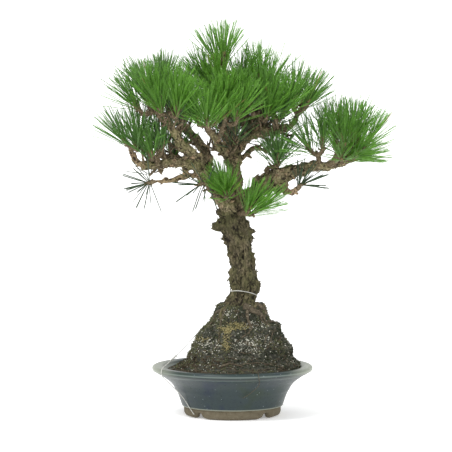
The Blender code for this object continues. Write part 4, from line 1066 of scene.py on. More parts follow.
def bud(tip, heading):
    """A small scaly bud at the end of a shoot."""
    path = np.array([tip + heading * (along - 0.001) for along, _ in BUD_STATIONS])
    reach = np.repeat([[radius] for _, radius in BUD_STATIONS], 7, axis=1)
    return tube(path, reach)


def clear_of_limbs(needles, tree, girths):
    """Which needles run free of the limbs; those that would leave the solids' box are shortened first."""
    keep = np.ones(len(needles), dtype=bool)
    low, high = np.array(CAD_BOX[0]) - POT_AXIS + BOX_MARGIN, np.array(CAD_BOX[1]) - POT_AXIS - BOX_MARGIN
    for row, needle in enumerate(needles):
        root, way, bend, length = needle[:3], needle[3:6], needle[6:9], needle[9]
        reach = way * length + bend
        room = np.where(reach > 0, high - root, low - root) / np.where(np.abs(reach) < 1e-6, 1e-6, reach)
        share = min(1.0, float(room.min()))
        if share < SHORTEST_SHARE:
            keep[row] = False
            continue
        needle[6:10] *= share
        bend, length = needle[6:9], needle[9]
        for t in (0.35, 0.6, 0.8, 1.0):
            _, index, distance = tree.find(root + way * length * t + bend * t * t)
            if distance < girths[index]:
                keep[row] = False
                break
    return keep


# Foliage

def add_needles(pile, rng, rows, shade, radius=NEEDLE_RADIUS):
    """Adds a spray's needles: most in one shade, some in a neighbouring one, a few dry."""
    if not len(rows):
        return
    tones = list(GREENS)
    main = rng.choice(NEARBY_SHADES[shade])
    stray = rng.choice(NEARBY_SHADES[shade])
    chosen = np.array([tones.index("dry") if row[10] else
                       tones.index(stray if rng.random() < STRAY_SHADE else main)
                       for row in rows])
    for tone in sorted(set(chosen)):
        made = blade_shapes(rows[chosen == tone], radius, NEEDLE_STEPS, NEEDLE_TAPER, closed=False)
        pile.add(*made, int(tone))


def inner_twigs(lines, neighbours):
    """Thin forked twigs along the boughs: each a line, a radius and whether needles stand at its end."""
    made = []
    for name in INNER_BOUGHS:
        rng = random.Random(name + " inner")
        path, radii = lines[name]
        tangents, across, up = frames_along(path)
        for number in range(int(line_length(path) / INNER_SPACING)):
            low, middle = between(path, rng.uniform(0.20, 0.95) * (len(path) - 1))
            turn = GOLDEN_ANGLE * number + rng.uniform(-0.5, 0.5)
            around = across[low] * math.cos(turn) + up[low] * math.sin(turn)
            out = unit(around + tangents[low] * 0.3 + UP * 0.5)
            length = rng.uniform(*INNER_LENGTH) + radii[low]
            sway = scatter(rng, 0.12) * length
            line = smooth_line([middle, middle + out * length * 0.55 + sway,
                                middle + (out + UP * 0.3) * length], 4)
            line = steer_clear(line, INNER_RADIUS, neighbours, (name,), held=1)
            neighbours.add(line, np.full(4, INNER_RADIUS), name)
            made.append((line, INNER_RADIUS, rng.random() < INNER_GREEN_CHANCE))
            for _ in range(INNER_FORKS):
                start = line[1] + (line[3] - line[1]) * rng.uniform(0.1, 0.8)
                aside = unit(scatter(rng, 1) + out + UP * 0.5)
                end = start + (aside + UP * 0.3) * rng.uniform(*INNER_FORK_LENGTH)
                fork = np.array([start, start + aside * INNER_FORK_BEND, end])
                made.append((fork, INNER_RADIUS * 0.7, rng.random() < INNER_GREEN_CHANCE * 0.6))
    return made


def make_foliage(grown, inner, tree, girths, finishes):
    """Twigs, buds and needles of all masses; the needles end in pieces of a limited size."""
    twigs, buds, needles = Pile(), Pile(), Pile()
    colours = [finishes["needles_" + name] for name in GREENS]
    held, number, made = [], 0, 0
    rng = random.Random("inner needles")
    for line, radius, green in inner:
        twigs.add(*rough_twig(line, np.linspace(radius, radius * 0.7, len(line)), number))
        number += 1
        if green:
            rows = spray(rng, line, INNER_PAIRS, INNER_LEAN, INNER_NEEDLES, 0.0)
            clear = rows[clear_of_limbs(rows, tree, girths)]
            # Painted shade: needles on the inner twigs take the shaded and deep greens.
            add_needles(needles, rng, clear, rng.choice(("shaded", "shaded", "deep")))
    for name, _, _, _, _, shoots, _, shade in MASSES:
        rng = random.Random(name + " sprays")
        sparse = shoots == 1
        for line, radii in grown[name]:
            twigs.add(*rough_twig(line, radii, number))
            for spur, spur_radii in spurs(rng, line, radii):
                twigs.add(*rough_twig(spur, spur_radii, number))
            number += 1
        for line, _ in grown[name][1:]:
            sides = [] if sparse else side_shoots(rng, line)
            for side in sides:
                twigs.add(*rough_twig(side, np.full(3, SIDE_SHOOT_RADIUS), number))
                number += 1
            for order, end in enumerate([line] + sides):
                buds.add(*bud(end[-1], unit(end[-1] - end[-2])))
                if sparse:
                    rows = spray(rng, end, THIN_PAIRS.get(name, SPARSE_PAIRS), SPARSE_LEAN, SPARSE_LENGTH,
                                 THIN_LOWEST.get(name, -1.0))
                else:
                    pairs = round((SIDE_PAIRS if order else PAIRS) * FULLNESS.get(name, 1.0))
                    leans = (NEEDLE_LEAN[0], WIDE_MASSES.get(name, NEEDLE_LEAN[1]))
                    lengths = np.array(NEEDLE_LENGTH) * SHORT_MASSES.get(name, 1.0)
                    rows = spray(rng, end, pairs, leans, lengths, LOWEST_AIM)
                radius = SPARSE_RADIUS if sparse else NEEDLE_RADIUS
                add_needles(needles, rng, rows[clear_of_limbs(rows, tree, girths)], shade, radius)
        held.append(name)
        if sum(len(faces) for faces in needles.faces) > MOST_TRIANGLES * 0.85 or name == MASSES[-1][0]:
            made += 1
            piece(f"needles_{made}", needles.mesh("needles"), colours, held)
            needles, held = Pile(), []
    piece("twigs", twigs.mesh("twigs"), [finishes["twig_bark"]])
    piece("buds", buds.mesh("buds"), [finishes["bud_scales"]])


# Pot and root ball

def rounded(corners):
    """An outline whose corners are rounded: each corner is (radius, height, rounding)."""
    outline = []
    for index, (radius, height, rounding) in enumerate(corners):
        corner = np.array([radius, height])
        if rounding == 0 or index in (0, len(corners) - 1):
            outline.append(corner)
            continue
        before = unit(np.array(corners[index - 1][:2]) - corner) * rounding
        after = unit(np.array(corners[index + 1][:2]) - corner) * rounding
        for t in np.linspace(0, 1, 5):
            outline.append(corner + before * (1 - t) ** 2 + after * t ** 2)
    return outline


def smooth_outline(points, spacing):
    line = np.array([(radius, 0.0, height) for radius, height in points])
    return [(place[0], place[2]) for place in smooth_line(line, max(3, round(line_length(line) / spacing)))]


def arch_lift(angle, radius):
    """How high the foot's underside is cut away at an angle round the pot."""
    spacing = 2 * math.pi / FOOT_COUNT
    off = abs((angle % spacing) - spacing / 2) * radius
    if off < ARCH_HALF_WIDTH:
        return ARCH_HEIGHT * math.sqrt(max(0.0, 1 - (off / ARCH_HALF_WIDTH) ** 2)) + ARCH_FLARE
    return ARCH_FLARE * max(0.0, 1 - (off - ARCH_HALF_WIDTH) / ARCH_ROUNDING) ** 2


def pot_angles():
    """Even angles round the pot, with closer ones at the arches of the foot."""
    even = np.linspace(0, 2 * math.pi, POT_SIDES, endpoint=False)
    middles = [2 * math.pi * (foot + 0.5) / FOOT_COUNT for foot in range(FOOT_COUNT)]
    reach = (ARCH_HALF_WIDTH + ARCH_ROUNDING) / FOOT_RADIUS
    close = np.concatenate([middle + np.linspace(-reach, reach, 41) for middle in middles])
    even = [angle for angle in even if min(abs(angle - middle) for middle in middles) > reach]
    return np.sort(np.concatenate([even, close]))


def turned(profile, angles):
    """Points and triangles of a closed outline turned about Z."""
    profile = np.array(profile)
    count, sides = len(profile), len(angles)
    points = np.stack([profile[:, :1] * np.cos(angles), profile[:, :1] * np.sin(angles),
                       np.repeat(profile[:, 1:], sides, axis=1)], axis=-1).reshape(-1, 3)
    side = np.arange(sides)
    after = (side + 1) % sides
    faces = []
    for ring in range(count):
        low, high = ring * sides, (ring + 1) % count * sides
        faces.append(np.column_stack([low + side, low + after, high + after]))
        faces.append(np.column_stack([low + side, high + after, high + side]))
    return points, np.vstack(faces)


def make_pot(glaze, clay):
    """The pot as thrown: bare clay foot cut by arches, glaze edge, flared wall and wide rounded lip."""
    underside = rounded(UNDERSIDE)
    foot = smooth_outline(FOOT_WALL, 0.0015)
    glaze_edge = rounded(GLAZE_BASE)
    wall = [(radius + BEAD_RISE * math.exp(-((height - BEAD_HEIGHT) / BEAD_HALF_WIDTH) ** 2), height)
            for radius, height in smooth_outline(OUTER_WALL[1:], 0.0013)]
    middle = (RIM_RADIUS - LIP_THICKNESS / 2, RIM_TOP - LIP_THICKNESS / 2)
    lip = [(middle[0] + LIP_THICKNESS / 2 * math.cos(turn), middle[1] + LIP_THICKNESS / 2 * math.sin(turn))
           for turn in np.linspace(LIP_START, LIP_START + LIP_SWEEP, 15)]
    inside = rounded([lip[-1] + (0,), INNER_LIP, INNER_WALL[0] + (0.0022,), INNER_WALL[1] + (0,)])
    inner = smooth_outline(INNER_WALL[1:], 0.004)
    floor = [(FLOOR_MIDDLE, FLOOR_TOP), (DRAIN_RADIUS, FLOOR_TOP)]
    profile = underside[:-1] + foot + glaze_edge[1:-1] + wall + lip + inside[1:-1] + inner + floor
    angles = pot_angles()
    points, faces = turned(profile, angles)
    lift = np.array([arch_lift(angle, FOOT_RADIUS) for angle in angles])
    lift = np.tile(lift, len(profile))
    radius = np.hypot(points[:, 0], points[:, 1])
    in_foot = (radius > 0.074) & (points[:, 2] < FOOT_WALL[-1][1])
    share = np.clip(1 - points[:, 2] / FOOT_WALL[-1][1], 0, 1)
    points[:, 2] += np.where(in_foot, lift * share, 0.0)
    pile = Pile()
    places = points[faces].mean(axis=1)
    reach = np.hypot(places[:, 0], places[:, 1])
    inside_wall = reach < inner_radius(places[:, 2]) + 0.002
    bare = (places[:, 2] < GLAZE_START) | ((places[:, 2] < INNER_WALL[2][1]) & inside_wall)
    pile.add(points, faces)
    pile.shades = [bare.astype(int)]
    mesh = pile.mesh("pot")
    mesh.shade_smooth()
    mesh.set_sharp_from_angle(angle=math.radians(50))
    return piece("glazed_pot", mesh, [glaze, clay], ["pot"], smooth=False)


def inner_radius(height):
    walls = sorted(INNER_WALL, key=lambda place: place[1])
    return np.interp(height, [place[1] for place in walls], [place[0] for place in walls])


def mound_place(angle, rise):
    """A point on the smooth root ball: rise is 0 at the pot's wall, 1 at the trunk's foot, more inwards."""
    height, middle, half_width, depth = (np.interp(rise, MOUND_SHARES, column) for column in MOUND_LINE.T)
    side, front = half_width * np.cos(angle), depth * half_width * np.sin(angle)
    return np.stack([middle + side, front, height], axis=-1)


def mound_relief(points):
    """How far moss, clods and roots stand out of the root ball."""
    broad = rough_noise(points / 0.030, 2, 200) * 0.0058
    for middle, reach, rise in LUMPS:
        broad += rise * np.exp(-np.sum((points - np.array(middle)) ** 2, axis=1) / reach ** 2)
    clods = rough_noise(points / 0.0095, 3, 210) * 0.0034
    creases = np.abs(rough_noise(points / np.array([0.012, 0.012, 0.020]), 2, 215)) * 0.0050
    _, border, _, chance = cells(points / 0.0058, 220)
    crumbs = (chance - 0.5) * 0.0022 * np.clip(border * 3, 0, 1)
    return broad + clods + crumbs - creases + 0.0012


def make_soil(soil):
    """The root ball from inside the pot's wall over the mound to the trunk's foot."""
    around = np.linspace(0, 2 * math.pi, MOUND_SIDES, endpoint=False)
    rises = np.linspace(0, 1, MOUND_ROWS)
    points = mound_place(np.tile(around, MOUND_ROWS), np.repeat(rises, MOUND_SIDES))
    outward = points - MOUND_CENTRE
    outward /= np.linalg.norm(outward, axis=1)[:, None]
    free = np.clip((np.repeat(rises, MOUND_SIDES) - 0.02) / 0.06, 0, 1)
    points = points + outward * (mound_relief(points) * free)[:, None]
    lower = [(radius - 0.0006, height) for radius, height in reversed(INNER_WALL) if height < 0.081]
    rings = [np.column_stack([radius * np.cos(around), radius * np.sin(around),
                              np.full(MOUND_SIDES, height + 0.0004)])
             for radius, height in lower]
    top = points[-MOUND_SIDES:]
    inner = [top * share + MOUND_TOP * (1 - share) for share in (0.7, 0.4, 0.12)]
    points = np.vstack(rings + [points] + inner)
    rows = len(points) // MOUND_SIDES
    side = np.arange(MOUND_SIDES)
    after = (side + 1) % MOUND_SIDES
    faces = []
    for ring in range(rows - 1):
        low, high = ring * MOUND_SIDES, (ring + 1) * MOUND_SIDES
        faces.append(np.column_stack([low + side, low + after, high + after]))
        faces.append(np.column_stack([low + side, high + after, high + side]))
    bottom, last = len(points), (rows - 1) * MOUND_SIDES
    points = np.vstack([points, [[0, 0, lower[0][1] + 0.0004]], [MOUND_TOP]])
    faces.append(np.column_stack([after, side, np.full(MOUND_SIDES, bottom)]))
    faces.append(np.column_stack([last + side, last + after, np.full(MOUND_SIDES, bottom + 1)]))
    pile = Pile()
    pile.add(points, np.vstack(faces))
    return piece("root_ball", pile.mesh("root_ball"), [soil], ["soil"])


def surface_of(obj):
    bm = bmesh.new()
    bm.from_mesh(obj.data)
    tree = BVHTree.FromBMesh(bm)
    bm.free()
    return tree


class Ground:
    """The root ball's skin, on which moss, stones and roots are set."""

    def __init__(self, ball):
        self.surface = surface_of(ball)

    def nearest(self, place):
        spot, normal, _, _ = self.surface.find_nearest(Vector(place + POT_AXIS))
        return np.array(spot) - POT_AXIS, np.array(normal)

    def anywhere(self, rng, lowest=0.04, highest=1.0):
        """A random place on the mound, from its foot to its top."""
        place = mound_place(any_turn(rng), rng.uniform(lowest, highest))
        return self.nearest(place)

    def from_front(self, x, z):
        """The place on the front that is seen at the given X and height."""
        spot, normal, _, _ = self.surface.ray_cast(Vector(np.array([x, -0.3, z]) + POT_AXIS), Vector((0, 1, 0)))
        if spot is None:
            return None, None
        return np.array(spot) - POT_AXIS, np.array(normal)


def stone(rng, place, radius):
    """An irregular small stone."""
    ratio = (1 + math.sqrt(5)) / 2
    corners = [(-1, ratio, 0), (1, ratio, 0), (-1, -ratio, 0), (1, -ratio, 0), (0, -1, ratio), (0, 1, ratio),
               (0, -1, -ratio), (0, 1, -ratio), (ratio, 0, -1), (ratio, 0, 1), (-ratio, 0, -1), (-ratio, 0, 1)]
    faces = [(0, 11, 5), (0, 5, 1), (0, 1, 7), (0, 7, 10), (0, 10, 11), (1, 5, 9), (5, 11, 4),
             (11, 10, 2), (10, 7, 6),
             (7, 1, 8), (3, 9, 4), (3, 4, 2), (3, 2, 6), (3, 6, 8), (3, 8, 9), (4, 9, 5), (2, 4, 11), (6, 2, 10),
             (8, 6, 7), (9, 8, 1)]
    squash = np.array([rng.uniform(0.6, 1.2) for _ in range(3)])
    points = [np.array(corner) / 1.9 * squash * rng.uniform(0.75, 1.2) * radius + place for corner in corners]
    return np.array(points), np.array(faces)


def dress_root_ball(ball, finishes):
    """Moss, white grit, dry straw moss, roots and litter on the root ball."""
    ground = Ground(ball)
    rng = random.Random("root ball")
    moss, grit, straw, roots, litter = Pile(), Pile(), Pile(), Pile(), Pile()
    for _ in range(MOSS_TUFTS):
        place, normal = ground.anywhere(rng)
        green = soft_noise(place[None] / 0.022, 400)[0] + (0.25 if place[0] < 0.0 else -0.15) > 0.0
        size = rng.uniform(0.6, 1.25)
        blades = []
        for _ in range(MOSS_BLADES):
            way = unit(normal + scatter(rng, 0.7))
            bend = scatter(rng, 0.0008)
            blades.append(np.concatenate([place - normal * 0.0008, way, bend, [MOSS_LENGTH * size, 0]]))
        moss.add(*blade_shapes(np.array(blades), MOSS_RADIUS * size), int(green))
    spots = [ground.anywhere(rng) for _ in range(GRIT_STONES)]
    for (left, right), (low, high), count in GRIT_CLUSTERS:
        for _ in range(count):
            x = rng.triangular(left, right)
            spots.append(ground.from_front(x, rng.triangular(low, high)))
    for place, normal in spots:
        if place is not None:
            grit.add(*stone(rng, place + normal * 0.0010, 0.0005 + 0.0011 * rng.random() ** 2))
    for (left, right), (low, high), count in STRAW_PATCHES:
        strands = []
        for _ in range(count):
            place, normal = ground.from_front(rng.triangular(left, right), rng.uniform(low, high))
            if place is None:
                continue
            flat = np.array([rng.gauss(0, 1), rng.gauss(0, 0.6), rng.gauss(0, 0.6)])
            way = unit(flat - normal * (flat @ normal) + normal * rng.uniform(0.0, 0.35))
            lift = normal * rng.uniform(0.0002, 0.0024)
            strands.append(np.concatenate([place + lift, way, -normal * 0.001,
                                           [rng.uniform(*STRAW_LENGTH), 0]]))
        straw.add(*blade_shapes(np.array(strands), STRAW_RADIUS))
    ways = []
    for way, first, last in FRONT_ROOTS:
        knots = [ground.from_front(x, z)[0] for x, z in way]
        ways.append(([knot for knot in knots if knot is not None], first, last))
    for _ in range(ROOT_COUNT):
        angle, swing, end = any_turn(rng), rng.uniform(-0.5, 0.5), rng.uniform(0.15, 0.55)
        knots = [mound_place(angle + swing * t + 0.12 * math.sin(5 * t + angle), 0.93 - (0.93 - end) * t)
                 for t in np.linspace(0, 1, 7)]
        ways.append((knots, rng.uniform(*ROOT_RADIUS), rng.uniform(*ROOT_END_RADIUS)))
    for _ in range(FINE_ROOTS):
        angle, rise, slant = any_turn(rng), 0.03 + 0.8 * rng.random() ** 2.6, rng.gauss(0, 0.014)
        sway = any_turn(rng)
        knots = [mound_place(angle + 0.11 * t, rise + slant * t + 0.012 * math.sin(3 * t + sway))
                 for t in np.linspace(0, rng.uniform(1.0, 3.0), 6)]
        ways.append((knots, *FINE_ROOT_RADII))
    for number, (knots, first, last) in enumerate(ways):
        line = smooth_line(knots, max(4, round(line_length(np.array(knots)) / 0.0030)))
        for index, point in enumerate(line):
            place, normal = ground.nearest(point)
            lift = SUNK_LIFT if first > THICK_ROOT else THIN_LIFT
            line[index] = place + normal * (first + (last - first) * index / len(line)) * lift
        line[1:-1] = (line[:-2] + line[1:-1] * 2 + line[2:]) / 4
        radii = np.linspace(first, last, len(line))
        if first > 0.001:
            roots.add(*rough_twig(line, radii / TWIG_FATNESS, number))
        else:
            roots.add(*tube(line, np.repeat(radii[:, None], 5, axis=1)))
    for _ in range(LITTER_BITS):
        if rng.random() < 0.6:
            angle = rng.gauss(math.radians(205.0), 0.5) if rng.random() < 0.5 else any_turn(rng)
            place, normal = ground.nearest(mound_place(angle, rng.uniform(0.03, 0.28)))
        else:
            place, normal = ground.anywhere(rng)
        flat = np.array([rng.gauss(0, 1), rng.gauss(0, 1), rng.gauss(0, 0.4)])
        way = unit(flat - normal * (flat @ normal) + normal * rng.uniform(0.0, 0.2))
        bend = -normal * 0.0015
        row = np.concatenate([place + normal * 0.0008, way, bend, [rng.uniform(*LITTER_LENGTH), 0]])
        litter.add(*blade_shapes(row[None], rng.uniform(*LITTER_RADIUS)))
    piece("moss_tufts", moss.mesh("moss"), [finishes["moss_dark"], finishes["moss_olive"]])
    piece("white_grit", grit.mesh("grit"), [finishes["grit"]], smooth=False)
    piece("straw_moss", straw.mesh("straw"), [finishes["straw"]])
    piece("surface_roots", roots.mesh("roots"), [finishes["root_bark"]])
    piece("needle_litter", litter.mesh("litter"), [finishes["litter"]])


def laid_on(path, radius, surfaces, rounds=4):
    """Moves a line just clear of every surface that it touches, and smooths it."""
    for _ in range(rounds):
        for i, point in enumerate(path):
            for surface in surfaces:
                found = Vector(point + POT_AXIS)
                place, normal, _, distance = surface.find_nearest(found)
                inside = (found - place).dot(normal) < 0
                short = radius + WIRE_GAP + (distance if inside else -distance)
                if short > 0 and distance < WIRE_REACH:
                    path[i] = point = np.array(found + normal * short) - POT_AXIS
        path[1:-1] = (path[:-2] + path[1:-1] * 2 + path[2:]) / 4
    return path


def make_rootlet(pot, ball, finishes):
    """A thin dry root that hangs over the rim at the front."""
    rough = smooth_line(ROOTLET, 40)
    path = smooth_line(ROOTLET, round(line_length(rough) / 0.002))
    path = laid_on(path, ROOTLET_RADIUS, [surface_of(pot), surface_of(ball)])
    thread = Pile()
    thread.add(*tube(path, np.repeat(np.linspace(1.3, 0.6, len(path))[:, None] * ROOTLET_RADIUS, 6, axis=1)))
    piece("rootlet_over_rim", thread.mesh("rootlet"), [finishes["root_bark"]])


def wire_line(pieces):
    """The tie wire's way: round the trunk's foot, down in the air, over the rim and along the wall."""
    way = []
    for step in range(WIRE_LOOP_STEPS + 1):
        angle = WIRE_LOOP_START + WIRE_LOOP_SWEEP * step / WIRE_LOOP_STEPS
        way.append((WIRE_LOOP_CENTRE[0] + WIRE_LOOP_RADIUS * math.cos(angle),
                    WIRE_LOOP_CENTRE[1] + WIRE_LOOP_RADIUS * math.sin(angle),
                    WIRE_LOOP_HEIGHT - WIRE_LOOP_TILT * math.cos(angle - WIRE_LOOP_LOW_SIDE)))
    way += WIRE_TAIL
    rough = smooth_line(way, 60)
    path = smooth_line(way, round(line_length(rough) / WIRE_STEP))
    return laid_on(path, WIRE_RADIUS, [surface_of(part) for part in pieces])


def wire_twist(path):
    """The twisted joint half way down the tail: a few tight turns and a small eye."""
    tangents, across, up = frames_along(path)
    middle = int(np.argmin(np.linalg.norm(path - np.array(TWIST_PLACE), axis=1)))
    start = path[middle] - tangents[middle] * TWIST_LENGTH / 2
    stop = path[middle] + tangents[middle] * TWIST_LENGTH / 2
    turns = np.linspace(0, 1, 60)
    phase = turns * TWIST_TURNS * 2 * math.pi
    side, lift = across[middle], up[middle]
    swing = side * np.cos(phase)[:, None] + lift * np.sin(phase)[:, None]
    coil = start + (stop - start) * turns[:, None] + swing * TWIST_RADIUS
    bend = np.linspace(0, 1.7 * math.pi, 24)
    eye = [coil[-1] + side * EYE_RADIUS * (1 - math.cos(turn)) + tangents[middle] * EYE_RADIUS * math.sin(turn)
           for turn in bend]
    return np.vstack([coil[:-1], eye])


# Shader groups that several finishes share

def new_group(name, inputs, outputs):
    """An empty node group with named sockets; each is (name, kind, value)."""
    group = bpy.data.node_groups.new(name, "ShaderNodeTree")
    for label, kind, value in inputs:
        socket = group.interface.new_socket(label, in_out="INPUT", socket_type="NodeSocket" + kind)
        socket.default_value = value
    for label, kind in outputs:
        group.interface.new_socket(label, in_out="OUTPUT", socket_type="NodeSocket" + kind)
    return group, group.nodes.new("NodeGroupInput"), group.nodes.new("NodeGroupOutput")


def add_node(tree, kind, inputs=None, **settings):
    """A new node; its inputs take a value or the output that feeds them."""
    made = tree.nodes.new(kind)
    for name, value in settings.items():
        setattr(made, name, value)
    for name, value in (inputs or {}).items():
        if isinstance(value, bpy.types.NodeSocket):
            tree.links.new(value, made.inputs[name])
        else:
            made.inputs[name].default_value = value
    return made


def object_place(tree):
    return tree.nodes.new("ShaderNodeTexCoord").outputs["Object"]


def map_range(tree, value, low, high, to_low=0.0, to_high=1.0):
    ends = {"Value": value, "From Min": low, "From Max": high, "To Min": to_low, "To Max": to_high}
    return add_node(tree, "ShaderNodeMapRange", ends, interpolation_type="SMOOTHSTEP").outputs["Result"]


def mix_colour(tree, share, first, second, blend="MIX"):
    made = tree.nodes.new("ShaderNodeMix")
    made.data_type = "RGBA"
    made.blend_type = blend
    for index, value in ((0, share), (6, first), (7, second)):
        if isinstance(value, bpy.types.NodeSocket):
            tree.links.new(value, made.inputs[index])
        else:
            made.inputs[index].default_value = (*value, 1.0) if index else value
    return made.outputs[2]


def calculate(tree, operation, first, second=0.0):
    return add_node(tree, "ShaderNodeMath", {0: first, 1: second}, operation=operation).outputs[0]


def make_mottle_group():
    """Cloudy change between three colours at a given scale."""
    group, inside, out = new_group(
        "mottle", [("Scale", "Float", 60.0), ("Contrast", "Float", 0.5), ("Stretch", "Float", 1.0),
                   ("Dark", "Color", (0, 0, 0, 1)), ("Middle", "Color", (0.5, 0.5, 0.5, 1)),
                   ("Light", "Color", (1, 1, 1, 1))], [("Colour", "Color"), ("Value", "Float")])
    squash = add_node(group, "ShaderNodeCombineXYZ", {"X": 1.0, "Y": 1.0})
    group.links.new(inside.outputs["Stretch"], squash.inputs["Z"])
    place = add_node(group, "ShaderNodeVectorMath", {0: object_place(group), 1: squash.outputs[0]},
                     operation="MULTIPLY")
    clouds = add_node(group, "ShaderNodeTexNoise", {"Vector": place.outputs[0], "Scale": inside.outputs["Scale"],
                                                    "Detail": 6.0, "Roughness": 0.62, "Distortion": 0.4})
    half = calculate(group, "MULTIPLY", inside.outputs["Contrast"], 0.5)
    low = calculate(group, "SUBTRACT", 0.5, half)
    value = add_node(group, "ShaderNodeMapRange", {"Value": clouds.outputs["Fac"], "From Min": low,
                                                   "From Max": calculate(group, "ADD", 0.5, half)}).outputs["Result"]
    lower = mix_colour(group, map_range(group, value, 0.0, 0.5),
                       inside.outputs["Dark"], inside.outputs["Middle"])
    upper = mix_colour(group, map_range(group, value, 0.5, 1.0), lower, inside.outputs["Light"])
    group.links.new(upper, out.inputs["Colour"])
    group.links.new(value, out.inputs["Value"])
    return group


def make_speckle_group():
    """Small round spots, strewn one to a cell, of which only a share shows."""
    inputs = [("Scale", "Float", 300.0), ("Size", "Float", 0.2), ("Share", "Float", 0.5)]
    group, inside, out = new_group("speckle", inputs, [("Mask", "Float")])
    spots = add_node(group, "ShaderNodeTexVoronoi",
                     {"Vector": object_place(group), "Scale": inside.outputs["Scale"]})
    near = calculate(group, "LESS_THAN", spots.outputs["Distance"], inside.outputs["Size"])
    chance = add_node(group, "ShaderNodeSeparateColor", {0: spots.outputs["Color"]}).outputs[0]
    chosen = calculate(group, "LESS_THAN", chance, inside.outputs["Share"])
    group.links.new(calculate(group, "MULTIPLY", near, chosen), out.inputs["Mask"])
    return group


def make_grain_group():
    """Fine rough height for a bump: broad swells with sharper grain on them."""
    inputs = [("Scale", "Float", 200.0), ("Sharpness", "Float", 0.5)]
    group, inside, out = new_group("grain", inputs, [("Height", "Float")])
    place = object_place(group)
    broad = add_node(group, "ShaderNodeTexNoise",
                     {"Vector": place, "Scale": inside.outputs["Scale"], "Detail": 4.0})
    fine_scale = calculate(group, "MULTIPLY", inside.outputs["Scale"], 4.3)
    fine = add_node(group, "ShaderNodeTexVoronoi", {"Vector": place, "Scale": fine_scale})
    sharp = calculate(group, "MULTIPLY", fine.outputs["Distance"], inside.outputs["Sharpness"])
    group.links.new(calculate(group, "ADD", broad.outputs["Fac"], sharp), out.inputs["Height"])
    return group


# Finishes

def new_material(name):
    material = bpy.data.materials.new(name)
    material.use_nodes = True
    return material, material.node_tree, material.node_tree.nodes["Principled BSDF"]


def place_group(tree, group, inputs):
    made = tree.nodes.new("ShaderNodeGroup")
    made.node_tree = group
    for name, value in inputs.items():
        if isinstance(value, tuple):
            value = (*value, 1.0)
        made.inputs[name].default_value = value
    return made


def bump(tree, shader, height, strength, distance):
    made = add_node(tree, "ShaderNodeBump", {"Height": height, "Strength": strength, "Distance": distance})
    tree.links.new(made.outputs["Normal"], shader.inputs["Normal"])


def plain(name, colour, roughness):
    material, _, shader = new_material(name)
    shader.inputs["Base Color"].default_value = (*colour, 1.0)
    shader.inputs["Roughness"].default_value = roughness
    return material


def bark_finish(groups):
    """Old bark: each plate its own tone, painted shade darkening the furrows, reddish young wood on thin limbs,
    green film.
    """
    material, tree, shader = new_material("flaking_bark")
    is_open, plate, girth = (add_node(tree, "ShaderNodeAttribute", attribute_name=name).outputs["Fac"]
                             for name in MARKS)
    cloud = place_group(tree, groups["mottle"], {"Scale": 300.0, "Contrast": 0.26, "Stretch": 0.20,
                                                 "Dark": BARK_DARK, "Middle": BARK_MIDDLE, "Light": BARK_LIGHT})
    tone = add_node(tree, "ShaderNodeValToRGB", {"Fac": plate})
    ramp = tone.color_ramp
    for position, colour in ((0.0, BARK_DARK), (0.3, BARK_MIDDLE), (0.65, BARK_OLIVE)):
        stop = ramp.elements[0] if position == 0.0 else ramp.elements.new(position)
        stop.position = position
        stop.color = (*colour, 1.0)
    ramp.elements[-1].color = (*BARK_TAN, 1.0)
    colour = mix_colour(tree, 0.60, tone.outputs["Color"], cloud.outputs["Colour"])
    edge = map_range(tree, is_open, 0.62, 0.95)
    colour = mix_colour(tree, calculate(tree, "MULTIPLY", edge, 0.5), colour, BARK_LIGHT)
    film = place_group(tree, groups["mottle"], {"Scale": 38.0, "Contrast": 0.25, "Dark": (0, 0, 0),
                                                "Middle": (0, 0, 0),
                                                "Light": (1, 1, 1)})
    colour = mix_colour(tree, calculate(tree, "MULTIPLY", film.outputs["Value"], 0.55), colour, BARK_MOSS)
    young = map_range(tree, girth, 0.0080, 0.0035)
    colour = mix_colour(tree, calculate(tree, "MULTIPLY", young, 0.5), colour, YOUNG_BARK)
    # Painted shade: points that lie deep in a furrow are darkened towards the furrow colour.
    shade = map_range(tree, is_open, 0.0, 0.42)
    colour = mix_colour(tree, shade, PAINTED_FURROW_SHADE, colour)
    bough = map_range(tree, girth, 0.0210, 0.0130)
    lift = mix_colour(tree, bough, TRUNK_TONE, BOUGH_TONE)
    colour = mix_colour(tree, 1.0, colour, lift, "MULTIPLY")
    tree.links.new(colour, shader.inputs["Base Color"])
    shader.inputs["Roughness"].default_value = 0.88
    shader.inputs["Specular IOR Level"].default_value = 0.25
    grain = place_group(tree, groups["grain"], {"Scale": 420.0, "Sharpness": 0.6})
    bump(tree, shader, grain.outputs["Height"], 0.8, 0.0012)
    return material


def mottled_finish(groups, name, dark, middle, light, scale, contrast=0.5, roughness=0.9, grain_scale=500.0,
                   depth=0.0006, stretch=1.0):
    """A rough dry surface, cloudy between three colours."""
    material, tree, shader = new_material(name)
    cloud = place_group(tree, groups["mottle"], {"Scale": scale, "Contrast": contrast, "Stretch": stretch,
                                                 "Dark": dark, "Middle": middle, "Light": light})
    tree.links.new(cloud.outputs["Colour"], shader.inputs["Base Color"])
    shader.inputs["Roughness"].default_value = roughness
    shader.inputs["Specular IOR Level"].default_value = 0.25
    grain = place_group(tree, groups["grain"], {"Scale": grain_scale, "Sharpness": 0.5})
    bump(tree, shader, grain.outputs["Height"], 0.7, depth)
    return material


def needle_finish(groups, name, colour):
    """Waxy green with a slight change along the needles."""
    material, tree, shader = new_material("needles_" + name)
    dark = tuple(value * 0.60 for value in colour)
    light = tuple(value * 1.40 for value in colour)
    cloud = place_group(tree, groups["mottle"], {"Scale": 150.0, "Contrast": 0.5, "Dark": dark, "Middle": colour,
                                                 "Light": light})
    tree.links.new(cloud.outputs["Colour"], shader.inputs["Base Color"])
    shader.inputs["Roughness"].default_value = 0.42
    shader.inputs["Specular IOR Level"].default_value = 0.35
    return material


